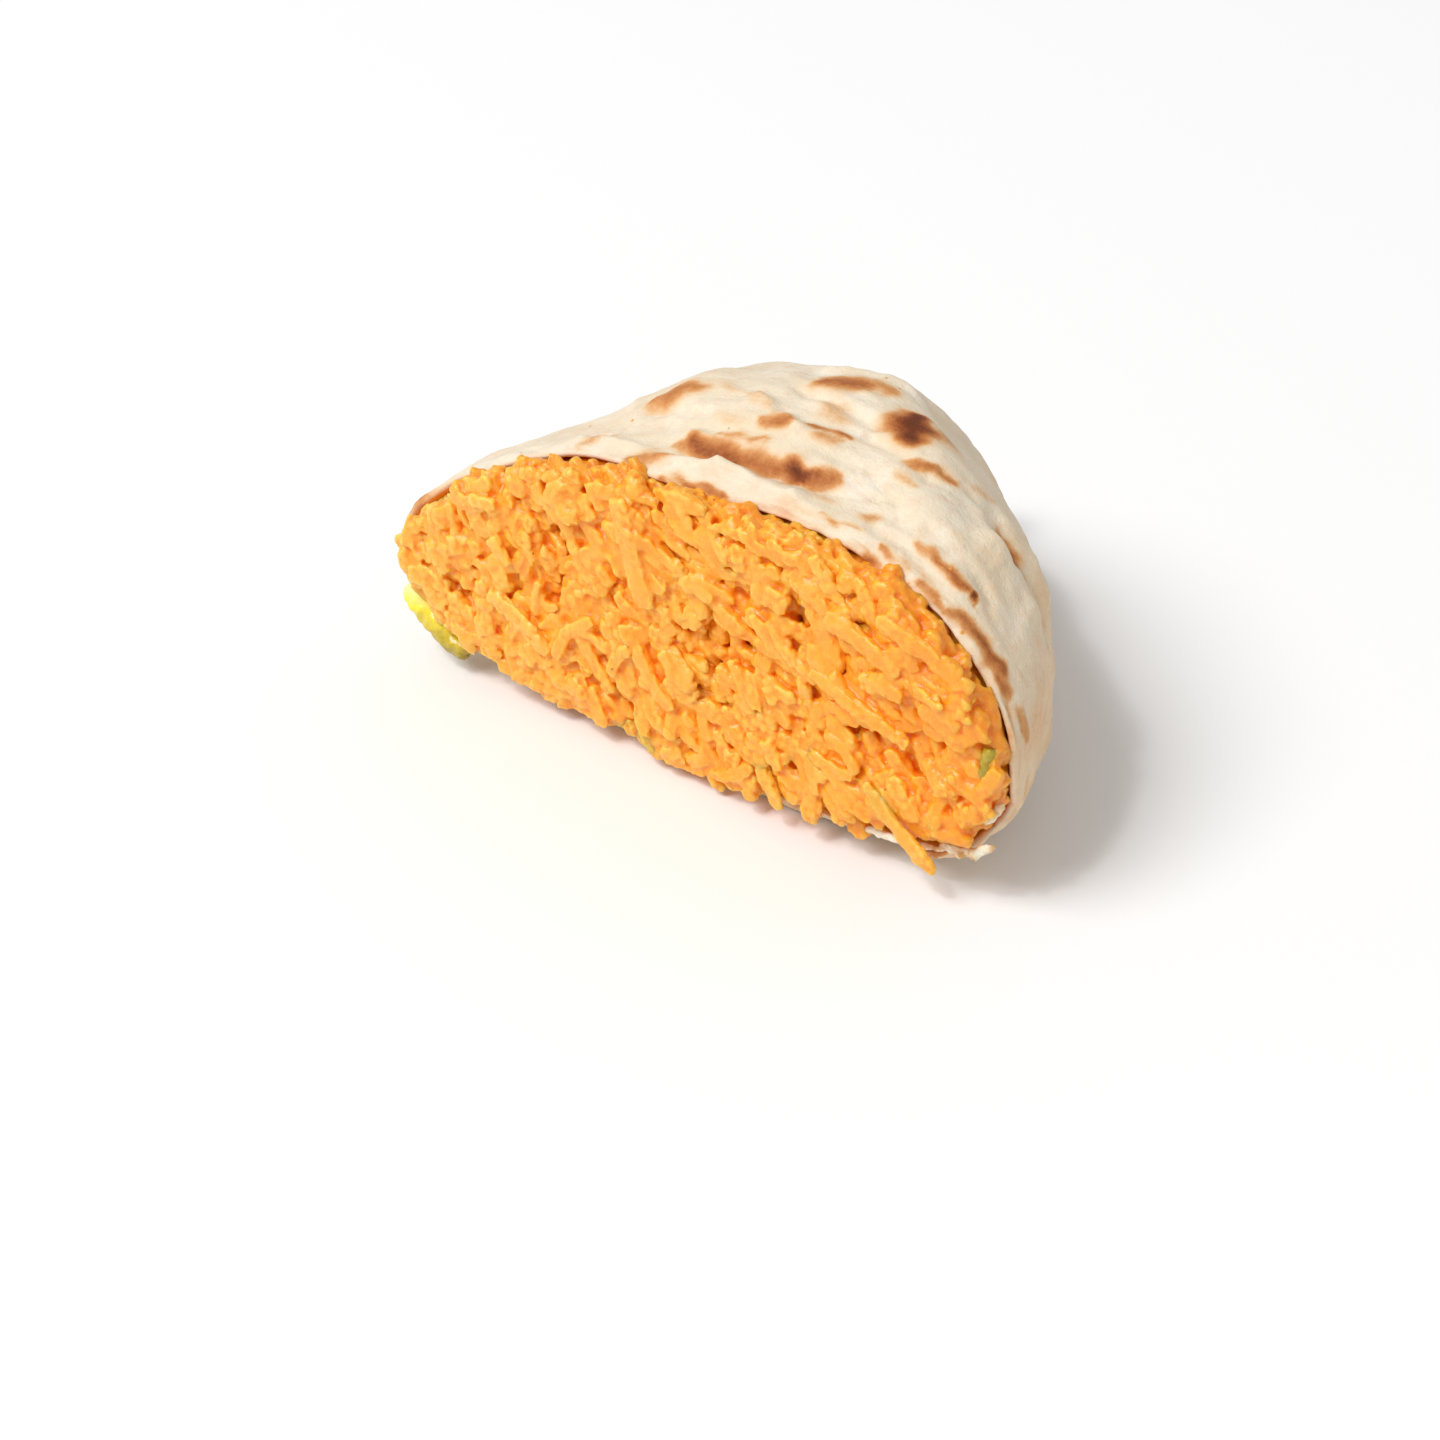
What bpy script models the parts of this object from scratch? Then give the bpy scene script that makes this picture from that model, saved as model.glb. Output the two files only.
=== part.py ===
"""Cut end of a boat-shaped flatbread sandwich, packed with grated cheese.

One sheet of thin oven-baked flatbread is wrapped round the filling and pinched to a tail at the
back. The front is the knife cut, where the crust shows as a thin rim and the grated cheese fills
the whole opening. Two scraps of pickled pepper show at the ends of the cut.

X runs along the cut, Y from the cut back to the tail, Z up. The origin is at the bottom centre.
"""

import math
import random

import bmesh
import bpy
from mathutils import Matrix, Vector, noise

MM = 0.001
CRUST = 2.2 * MM
CHEESE_GAP = 0.6 * MM
REAR_GAP = 2.2 * MM

# The cut's outline in millimetres, seen from the front, counter-clockwise from the right end.
# The right shoulder is fuller than the left, which the knife has pressed down.
CUT_OUTLINE = [
    (66.5, 31), (62, 44), (48, 54.5), (27, 59.5), (2, 58.5), (-27, 53), (-49, 42.5), (-62.5, 30.5),
    (-66.5, 20), (-60, 9.5), (-40, 4), (0, 0), (36, 2.5), (56, 8.5), (64, 18),
]
WAIST = 25
HALF_WIDTH = 66.5
CUT_TOP = 60

# Stations from the cut to the tail, in millimetres: depth, left edge, right edge, top, height of
# the widest line, underside. An underside below zero is pressed flat where the bread rests.
STATIONS = [
    (0, -66.5, 65.5, 59, 25, -0.6),
    (12, -61, 62, 62.5, 25, -1.6),
    (28, -51.5, 53.5, 65, 24, -1.6),
    (44, -43, 40, 59.5, 22, -1.2),
    (58, -33, 26.5, 47, 18, 0.4),
    (71, -22, 14.5, 31.5, 14, 3),
    (81, -13.5, 6, 19.5, 12, 6),
    (88, -8.5, 0.5, 14.8, 11.5, 8.4),
    (92, -6, -2.5, 12.6, 11.4, 10.2),
]

COLUMNS = 56
RINGS = 20
INNER_ROWS = range(18)
CORE_ROWS = (0, 1, 2, 4, 6, 8, 10, 12, 14, 16)

# Long blisters and creases of the top sheet: across, along, length, width, turn in degrees from
# the cut's line, height. A negative height is a crease.
TOP_FOLDS = [
    (-2, 17, 22, 4.5, -14, 1.9),
    (-4, 9, 27, 3.4, -8, -2.0),
    (13, 2, 5, 4.5, 60, -2.6),
    (24, 12, 17, 4.0, -32, -1.5),
    (27, 2, 10, 4.5, -12, 1.0),
    (36, 15, 13, 3.6, -40, 1.6),
    (43, 24, 17, 3.6, -44, -2.3),
    (31, 31, 12, 5.5, -20, 1.6),
    (12, 40, 15, 5.5, -20, 1.5),
    (-22, 27, 15, 5.0, 18, 1.6),
    (-8, 34, 17, 3.5, -6, -1.4),
    (-34, 12, 14, 4.5, 22, -1.5),
    (-45, 22, 11, 5.0, 55, 1.4),
    (26, 54, 18, 4.0, 62, -2.4),
    (-10, 60, 14, 4.5, 60, 1.5),
    (-25, 47, 16, 4.0, 50, -1.8),
    (4, 72, 13, 3.2, 85, -1.6),
    (31, 44, 20, 14, -50, -3.2),
    (-12, 42, 19, 13, 0, 1.2),
    (-38, 26, 17, 12, 32, -2.4),
]

# Notches and lips of the cut rim: across, height, reach, how far back the edge is torn.
RIM_TEARS = [
    (-31, 53, 17, 3.2),
    (-57, 37, 4.5, 4.2),
    (-4, 60, 9, -1.9),
    (15, 59, 5, 2.2),
    (65.5, 16, 6.5, 5.5),
    (55, 7.5, 9, -2.4),
    (-30, 3.5, 12, 1.6),
]

# The pepper scraps' paths, each from its upper end over a bend to its lower end, in millimetres.
LEFT_SCRAP_PATH = [(-61, -2.5, 13), (-57.5, -2.3, 7.5), (-49.5, -2.5, 5)]
RIGHT_SCRAP_PATH = [(61.2, -2.3, 33.5), (62.0, -2.3, 29), (60.8, -2.3, 25)]

# Shreds that hang out over the lower rim, in millimetres: upper end, lower end, width.
OVERHANGING_SHREDS = [
    ((25, 1.5, 18), (37.5, -4.6, 3.6), 2.8),
    ((17, 1.5, 12), (23, -4.4, 3.8), 3.4),
    ((-9, 1.5, 11), (-5, -4.2, 3.6), 2.6),
]

SHRED_SEED = 43
SHRED_PITCH = 8.6
SHRED_TRIES_LONG = 34


def smoothstep(t):
    t = min(max(t, 0.0), 1.0)
    return t * t * (3 - 2 * t)


def closed_curve(points, t):
    """A point on the smooth closed curve through the points, for t from 0 to 1."""
    place = t * len(points)
    first = int(place)
    f = place - first
    a, b, c, d = (Vector(points[(first + k) % len(points)]) for k in (-1, 0, 1, 2))
    return 0.5 * (2 * b + (c - a) * f + (2 * a - 5 * b + 4 * c - d) * f**2 + (3 * b - a - 3 * c + d) * f**3)


def station_at(depth):
    """The left edge, right edge, top, waist and underside at this depth, on a smooth curve."""
    last = len(STATIONS) - 1
    k = max(i for i in range(last) if STATIONS[i][0] <= depth + 1e-9)

    def slope(i, column):
        low, high = max(i - 1, 0), min(i + 1, last)
        return (STATIONS[high][column] - STATIONS[low][column]) / (STATIONS[high][0] - STATIONS[low][0])

    span = STATIONS[k + 1][0] - STATIONS[k][0]
    f = (depth - STATIONS[k][0]) / span
    values = []
    for column in range(1, 6):
        start, end = STATIONS[k][column], STATIONS[k + 1][column]
        rise = (f**3 - 2 * f**2 + f) * slope(k, column) + (f**3 - f**2) * slope(k + 1, column)
        values.append((2 * f**3 - 3 * f**2 + 1) * start + (3 * f**2 - 2 * f**3) * end + span * rise)
    return values


def rim_setback(across, height):
    """How far behind the cut plane the torn edge of the crust lies, in millimetres."""
    back = 0.9 * noise.noise(Vector((across * 0.16, height * 0.16, 3.7)))
    for tear_across, tear_height, reach, depth in RIM_TEARS:
        away = math.hypot(across - tear_across, height - tear_height) / reach
        back += depth * math.exp(-away * away)
    return back


def crust_point(turn, along):
    """A point on the plain outer face of the wrap: turn goes round the section, along to the tail."""
    depth = STATIONS[-1][0] * along**0.9
    left, right, top, waist, under = station_at(depth)
    across, height = closed_curve(CUT_OUTLINE, turn)
    x = (left + right) / 2 + across / HALF_WIDTH * (right - left) / 2
    if height > WAIST:
        z = waist + (height - WAIST) / (CUT_TOP - WAIST) * (top - waist)
    else:
        z = waist + (height - WAIST) / WAIST * (waist - under)
    y = depth + rim_setback(across, height) * (1 - along) ** 5
    return Vector((x, y, z))


def fold_height(x, y):
    """The height of the top sheet's blisters and creases over a place in plan, in millimetres."""
    total = 0.0
    for across, depth, length, width, turn, height in TOP_FOLDS:
        angle = math.radians(turn)
        dx, dy = x - across, y - depth
        run = (dx * math.cos(angle) + dy * math.sin(angle)) / length
        side = (dy * math.cos(angle) - dx * math.sin(angle)) / width
        total += height * math.exp(-run * run - side * side)
    return total


def relief(point, normal):
    """Blisters and creases on top, and the soft unevenness of hand-stretched dough all over."""
    facing_up = smoothstep(normal.z * 2.2)
    uneven = 1.5 * noise.noise(point * 0.042) + 0.6 * noise.noise(point * 0.11 + Vector((9, 2, 4)))
    return facing_up * fold_height(point.x, point.y) + uneven


def new_object(name, mesh_builder, collection):
    mesh = bpy.data.meshes.new(name)
    mesh_builder.to_mesh(mesh)
    mesh_builder.free()
    made = bpy.data.objects.new(name, mesh)
    collection.objects.link(made)
    return made


def wrap_surface():
    """The outer face of the wrap as an open sheet, in metres, and its rings of vertices."""
    sheet = bmesh.new()
    rings = []
    for row in range(RINGS + 1):
        rings.append([sheet.verts.new(crust_point(k / COLUMNS, row / RINGS)) for k in range(COLUMNS)])
    for near, far in zip(rings, rings[1:]):
        for k in range(COLUMNS):
            following = (k + 1) % COLUMNS
            sheet.faces.new((near[following], near[k], far[k], far[following]))
    tail = sheet.faces.new(rings[-1])
    bmesh.ops.poke(sheet, faces=[tail])
    bmesh.ops.recalc_face_normals(sheet, faces=sheet.faces[:])
    sheet.normal_update()
    moved = [(v, v.co + v.normal * relief(v.co, v.normal)) for v in sheet.verts]
    for vertex, place in moved:
        vertex.co = Vector((place.x, place.y, max(place.z, 0.0))) * MM
    sheet.normal_update()
    return sheet, rings


def lining(rows, gap_at):
    """Rings of places under the outer face, each as deep as gap_at gives for its row, in metres."""
    sheet, rings = wrap_surface()
    lined = [[v.co - v.normal * gap_at(row) for v in rings[row]] for row in rows]
    sheet.free()
    return lined


def skin_between(mesh, loops):
    """Faces between each loop of vertices and the next."""
    for near, far in zip(loops, loops[1:]):
        for k in range(COLUMNS):
            following = (k + 1) % COLUMNS
            mesh.faces.new((near[following], near[k], far[k], far[following]))


def make_flatbread(collection):
    """The wrap: one thin sheet of bread, open only at the cut and pinched solid at the tail."""
    bread, rings = wrap_surface()
    inside = [[bread.verts.new(p) for p in ring] for ring in lining(INNER_ROWS, lambda row: CRUST)]
    skin_between(bread, list(reversed(inside)) + [rings[0]])
    end = bread.faces.new(inside[-1])
    bmesh.ops.poke(bread, faces=[end])
    bmesh.ops.recalc_face_normals(bread, faces=bread.faces[:])
    made = new_object("flatbread", bread, collection)
    made.data.shade_smooth()
    made.data.set_sharp_from_angle(angle=math.radians(50))
    return made


def make_cheese_core(collection):
    """The body of the filling: it fills the wrap to its tail and ends in an uneven face at the cut."""
    inner = lining(CORE_ROWS, lambda row: CRUST + CHEESE_GAP + (REAR_GAP - CHEESE_GAP) * smoothstep(row / 4))
    core = bmesh.new()
    front = Vector((0, 0, sum(p.z for p in inner[0]) / COLUMNS))
    loops = []
    for share in (0.2, 0.42, 0.62, 0.82):
        loop = []
        for place in inner[0]:
            point = front.lerp(place, share)
            lumps = noise.noise(Vector((point.x, 0, point.z)) * 150)
            loop.append(core.verts.new((point.x, (1.2 + 2.2 * lumps) * MM, point.z)))
        loops.append(loop)
    for ring in inner:
        loops.append([core.verts.new(p) for p in ring])
    skin_between(core, loops)
    caps = [core.faces.new(loops[0]), core.faces.new(loops[-1])]
    bmesh.ops.poke(core, faces=caps)
    bmesh.ops.recalc_face_normals(core, faces=core.faces[:])
    return new_object("grated_cheese", core, collection), inner[0]


def shred_mesh(rng, length, width, thickness):
    """One shred of cheese: a bent five-sided bar with rough sides and uneven ends."""
    bar = bmesh.new()
    bmesh.ops.create_cone(
        bar, cap_ends=True, cap_tris=False, segments=5, radius1=0.55, radius2=0.55, depth=1,
    )
    along_edges = [e for e in bar.edges if abs(e.verts[0].co.z - e.verts[1].co.z) > 0.5]
    bmesh.ops.subdivide_edges(bar, edges=along_edges, cuts=1, use_grid_fill=True)
    bend = rng.uniform(-0.5, 0.5) * min(length / (14 * MM), 1.2)
    for v in bar.verts:
        run = v.co.z
        swell = 1 - 0.7 * abs(run) * rng.uniform(0.5, 1.1)
        jag = rng.uniform(-0.08, 0.08) if abs(run) > 0.49 else 0
        v.co = Vector((
            (run + jag) * length,
            v.co.x * width * swell * rng.uniform(0.88, 1.1) + bend * (run * run - 0.08) * length,
            v.co.y * thickness * swell * rng.uniform(0.88, 1.1),
        ))
    return bar


def overhanging_shred(rng, upper, lower, width):
    """One shred from its upper end on the cut face to its lower end in front of the rim."""
    upper, lower = Vector(upper) * MM, Vector(lower) * MM
    run = lower - upper
    bar = shred_mesh(rng, run.length, width * MM, width * 0.8 * MM)
    turn = run.to_track_quat("X", "Y").to_matrix().to_4x4()
    bmesh.ops.transform(bar, matrix=Matrix.Translation((upper + lower) / 2) @ turn, verts=bar.verts)
    return bar


def clear_of_rim(points, outline, margin):
    """True when every point, seen from the front, is inside the outline by the margin."""
    for x, z in points:
        inside = False
        for (x0, z0), (x1, z1) in zip(outline, outline[1:] + outline[:1]):
            if (z0 > z) != (z1 > z) and x < (x1 - x0) * (z - z0) / (z1 - z0) + x0:
                inside = not inside
            span = (x1 - x0) ** 2 + (z1 - z0) ** 2
            f = min(max(((x - x0) * (x1 - x0) + (z - z0) * (z1 - z0)) / span, 0), 1)
            if math.hypot(x0 + f * (x1 - x0) - x, z0 + f * (z1 - z0) - z) < margin:
                return False
        if not inside:
            return False
    return True


def shred_places(rng, outline):
    """Where the shreds lie on the cut face: long ones first, then short ones on a jittered grid."""
    low_x, high_x = min(x for x, _ in outline), max(x for x, _ in outline)
    low_z, high_z = min(z for _, z in outline), max(z for _, z in outline)
    places = []
    for _ in range(SHRED_TRIES_LONG):
        x, z = rng.uniform(low_x, high_x), rng.uniform(low_z, high_z)
        lean = math.radians(rng.gauss(-32, 30))
        places.append((x, z, lean, rng.uniform(13, 22) * MM, rng.uniform(2.7, 3.4) * MM, -0.6))
    pitch = SHRED_PITCH * MM
    row = 0
    z = low_z
    while z < high_z:
        x = low_x + (row % 2) * pitch / 2
        while x < high_x:
            place = (x + rng.uniform(-0.3, 0.3) * pitch, z + rng.uniform(-0.3, 0.3) * pitch)
            lean = rng.uniform(-math.pi / 2, math.pi / 2)
            places.append((*place, lean, rng.uniform(5.5, 10) * MM, rng.uniform(3.4, 5.2) * MM, 0.3))
            x += pitch
        z += pitch * 0.8
        row += 1
    return places


def make_shreds(outline, collection):
    """The shreds that show at the cut, half sunk in the core's face, plus those over the lower rim."""
    rng = random.Random(SHRED_SEED)
    flat = [(p.x, p.z) for p in outline]
    count = 0
    for x, z, lean, length, width, back in shred_places(rng, flat):
        run = Vector((math.cos(lean), math.sin(lean)))
        while length > 4 * MM:
            ends = [(x + run.x * length * f, z + run.y * length * f) for f in (-0.5, -0.25, 0, 0.25, 0.5)]
            if clear_of_rim(ends, flat, width * 0.75):
                break
            length -= 2 * MM
        else:
            continue
        bar = shred_mesh(rng, length, width, width * rng.uniform(0.6, 0.8))
        tip = Matrix.Rotation(rng.uniform(-0.16, 0.16), 4, "Z")
        turn = Matrix.Rotation(-lean, 4, "Y") @ tip @ Matrix.Rotation(math.pi / 2, 4, "X")
        depth = (back + rng.uniform(-0.5, 0.7)) * MM
        bmesh.ops.transform(bar, matrix=Matrix.Translation((x, depth, z)) @ turn, verts=bar.verts)
        new_object(f"shred_{count:03d}", bar, collection)
        count += 1
    for upper, lower, width in OVERHANGING_SHREDS:
        new_object(f"shred_{count:03d}", overhanging_shred(rng, upper, lower, width), collection)
        count += 1


def join_shreds(core, shreds):
    """Fuses the shreds to the core, so that the heap is one solid."""
    union = core.modifiers.new("shreds", "BOOLEAN")
    union.operation = "UNION"
    union.operand_type = "COLLECTION"
    union.collection = shreds
    union.solver = "MANIFOLD"
    graph = bpy.context.evaluated_depsgraph_get()
    joined = bpy.data.meshes.new_from_object(core.evaluated_get(graph))
    core.modifiers.clear()
    core.data = joined
    for scrap in list(shreds.objects):
        bpy.data.objects.remove(scrap)
    bpy.data.collections.remove(shreds)
    keep_largest_body(core)


def keep_largest_body(target):
    """Drops loose scraps and the walls of sealed pockets that the union leaves."""
    body = bmesh.new()
    body.from_mesh(target.data)
    bmesh.ops.triangulate(body, faces=body.faces[:])
    by_corners = {}
    for face in body.faces:
        by_corners.setdefault(frozenset(face.verts), []).append(face)
    folded = [face for pair in by_corners.values() if len(pair) > 1 for face in pair]
    bmesh.ops.delete(body, geom=folded, context="FACES")
    left = set(body.verts)
    groups = []
    while left:
        stack = [left.pop()]
        group = set(stack)
        while stack:
            for edge in stack.pop().link_edges:
                for vertex in edge.verts:
                    if vertex in left:
                        left.remove(vertex)
                        group.add(vertex)
                        stack.append(vertex)
        groups.append(group)
    groups.sort(key=len)
    scraps = [v for group in groups[:-1] for v in group]
    bmesh.ops.delete(body, geom=scraps, context="VERTS")
    body.to_mesh(target.data)
    body.free()


def make_pepper_scrap(name, path, breadth, depth, collection):
    """A scrap of pickled pepper: a thick strip along a short curved path, lumpy on its skin side."""
    scrap = bmesh.new()
    bmesh.ops.create_cone(
        scrap, cap_ends=True, cap_tris=False, segments=10, radius1=0.5, radius2=0.5, depth=1,
    )
    along_edges = [e for e in scrap.edges if abs(e.verts[0].co.z - e.verts[1].co.z) > 0.5]
    bmesh.ops.subdivide_edges(scrap, edges=along_edges, cuts=7, use_grid_fill=True)
    start, middle, end = (Vector(p) for p in path)
    for v in scrap.verts:
        run = v.co.z + 0.5
        taper = 0.55 + 0.45 * math.sin(math.pi * min(max(run, 0.04), 0.96)) ** 0.6
        lump = 1 + 0.22 * noise.noise(Vector((v.co.x * 2, v.co.y * 2, run * 5)))
        centre = start * (1 - run) ** 2 + middle * 2 * run * (1 - run) + end * run**2
        heading = ((middle - start) * (1 - run) + (end - middle) * run).normalized()
        across = heading.cross(Vector((0, 1, 0))).normalized()
        offset = across * v.co.y * breadth + Vector((0, v.co.x * depth, 0))
        v.co = (centre + offset * taper * lump) * MM
    if scrap.calc_volume(signed=True) < 0:
        bmesh.ops.reverse_faces(scrap, faces=scrap.faces[:])
    return new_object(name, scrap, collection)


def material(name, colour, roughness):
    made = bpy.data.materials.new(name)
    made.use_nodes = True
    shader = made.node_tree.nodes["Principled BSDF"]
    shader.inputs["Base Color"].default_value = (*colour, 1)
    shader.inputs["Roughness"].default_value = roughness
    shader.inputs["Metallic"].default_value = 0
    return made


def stand_on_origin(collection):
    """Moves all parts so that the origin is at the bottom centre of the whole."""
    bpy.context.view_layer.update()
    graph = bpy.context.evaluated_depsgraph_get()
    corners = [o.matrix_world @ Vector(c) for o in collection.objects for c in o.evaluated_get(graph).bound_box]
    low = Vector([min(c[k] for c in corners) for k in range(3)])
    high = Vector([max(c[k] for c in corners) for k in range(3)])
    for part in collection.objects:
        part.location -= Vector(((low.x + high.x) / 2, (low.y + high.y) / 2, low.z))


def main():
    for old in list(bpy.data.objects):
        bpy.data.objects.remove(old)
    parts = bpy.data.collections.new("cheese_sandwich")
    bpy.context.scene.collection.children.link(parts)
    shreds = bpy.data.collections.new("shreds")
    bpy.context.scene.collection.children.link(shreds)

    bread = make_flatbread(parts)
    cheese, outline = make_cheese_core(parts)
    make_shreds(outline, shreds)
    join_shreds(cheese, shreds)
    left_scrap = make_pepper_scrap("pepper_scrap_left", LEFT_SCRAP_PATH, 3.2, 2.4, parts)
    right_scrap = make_pepper_scrap("pepper_scrap_right", RIGHT_SCRAP_PATH, 2.4, 2.0, parts)
    stand_on_origin(parts)

    bread.data.materials.append(material("baked_flatbread", (0.84, 0.72, 0.54), 0.75))
    cheese.data.materials.clear()
    cheese.data.materials.append(material("orange_cheese", (0.93, 0.47, 0.08), 0.45))
    pepper = material("pickled_pepper", (0.86, 0.70, 0.08), 0.35)
    left_scrap.data.materials.append(pepper)
    right_scrap.data.materials.append(pepper)


main()
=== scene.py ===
"""The cut end of a flatbread sandwich packed with grated cheese, dressed for its portrait.

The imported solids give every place. Lengths are in metres, and MM turns millimetres into them.
X runs along the cut, Y from the cut back to the pinched tail, Z up.
"""

import math
import random

import bmesh
import bpy
import numpy as np
from mathutils import Matrix, Vector, noise
from mathutils.bvhtree import BVHTree


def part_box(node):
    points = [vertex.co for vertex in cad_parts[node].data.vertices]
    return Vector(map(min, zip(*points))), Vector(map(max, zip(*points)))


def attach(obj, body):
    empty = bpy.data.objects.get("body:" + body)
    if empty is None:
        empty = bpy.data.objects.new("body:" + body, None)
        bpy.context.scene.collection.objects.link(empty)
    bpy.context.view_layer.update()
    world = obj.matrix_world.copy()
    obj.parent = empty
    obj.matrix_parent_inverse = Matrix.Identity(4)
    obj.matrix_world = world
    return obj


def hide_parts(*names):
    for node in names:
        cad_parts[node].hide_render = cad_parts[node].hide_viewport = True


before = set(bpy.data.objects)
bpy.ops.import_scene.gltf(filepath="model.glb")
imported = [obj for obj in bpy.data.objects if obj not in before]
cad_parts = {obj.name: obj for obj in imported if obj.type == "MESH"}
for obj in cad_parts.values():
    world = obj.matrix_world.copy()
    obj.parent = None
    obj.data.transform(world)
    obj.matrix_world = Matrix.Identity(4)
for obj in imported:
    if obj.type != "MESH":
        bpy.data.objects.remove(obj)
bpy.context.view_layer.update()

# The wrap. One sheet of thin leavened flatbread, rolled round the filling and pinched at the tail.
# It is baked against a hot wall, so the blisters are scorched and the dough between stays pale.
# The knife has left its rim thin and a little ragged.
MM = 0.001
CUT_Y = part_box("flatbread")[0].y
OUTER, RIM, LINING = 0, 1, 2
JOINED_WITHIN = 0.01 * MM


def merged_copy(node):
    """A node's solid with its loose triangles joined at their corners."""
    copied = bmesh.new()
    copied.from_mesh(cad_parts[node].data)
    bmesh.ops.remove_doubles(copied, verts=copied.verts, dist=JOINED_WITHIN)
    return copied


def classed_crust():
    """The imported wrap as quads, its faces marked as outer skin, cut rim or lining."""
    crust = merged_copy("flatbread")
    bmesh.ops.join_triangles(
        crust,
        faces=crust.faces[:],
        angle_face_threshold=math.radians(60),
        angle_shape_threshold=math.radians(70),
    )
    tail = Vector((-3, 49, 11)) * MM
    cut_middle = Vector((0, -43, 28)) * MM
    rim_end = CUT_Y + 8 * MM
    tail_start = 30 * MM
    for face in crust.faces:
        centre = face.calc_center_median()
        along = (centre.y - cut_middle.y) / (tail.y - cut_middle.y)
        outward = centre - cut_middle.lerp(tail, along)
        outward.y = 0
        if centre.y < rim_end and face.normal.y < -0.75:
            face.material_index = RIM
        elif face.normal.dot(outward) > 0 or (face.normal.y > 0.5 and centre.y > tail_start):
            face.material_index = OUTER
        else:
            face.material_index = LINING
    return crust


def after_modifier(builder, kind, **settings):
    """The shape as a modifier of this kind, with these settings, leaves it."""
    mesh = bpy.data.meshes.new("cage")
    builder.to_mesh(mesh)
    builder.free()
    cage = bpy.data.objects.new("cage", mesh)
    bpy.context.scene.collection.objects.link(cage)
    modifier = cage.modifiers.new("made", kind)
    for name, value in settings.items():
        setattr(modifier, name, value)
    graph = bpy.context.evaluated_depsgraph_get()
    made = bmesh.new()
    made.from_mesh(cage.evaluated_get(graph).to_mesh())
    bpy.data.objects.remove(cage)
    bpy.data.meshes.remove(mesh)
    return made


crust = after_modifier(classed_crust(), "SUBSURF", levels=2, render_levels=2)
skin_edges = [e for e in crust.edges if any(f.material_index != LINING for f in e.link_faces)]
bmesh.ops.subdivide_edges(crust, edges=skin_edges, cuts=1, use_grid_fill=True)

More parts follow.
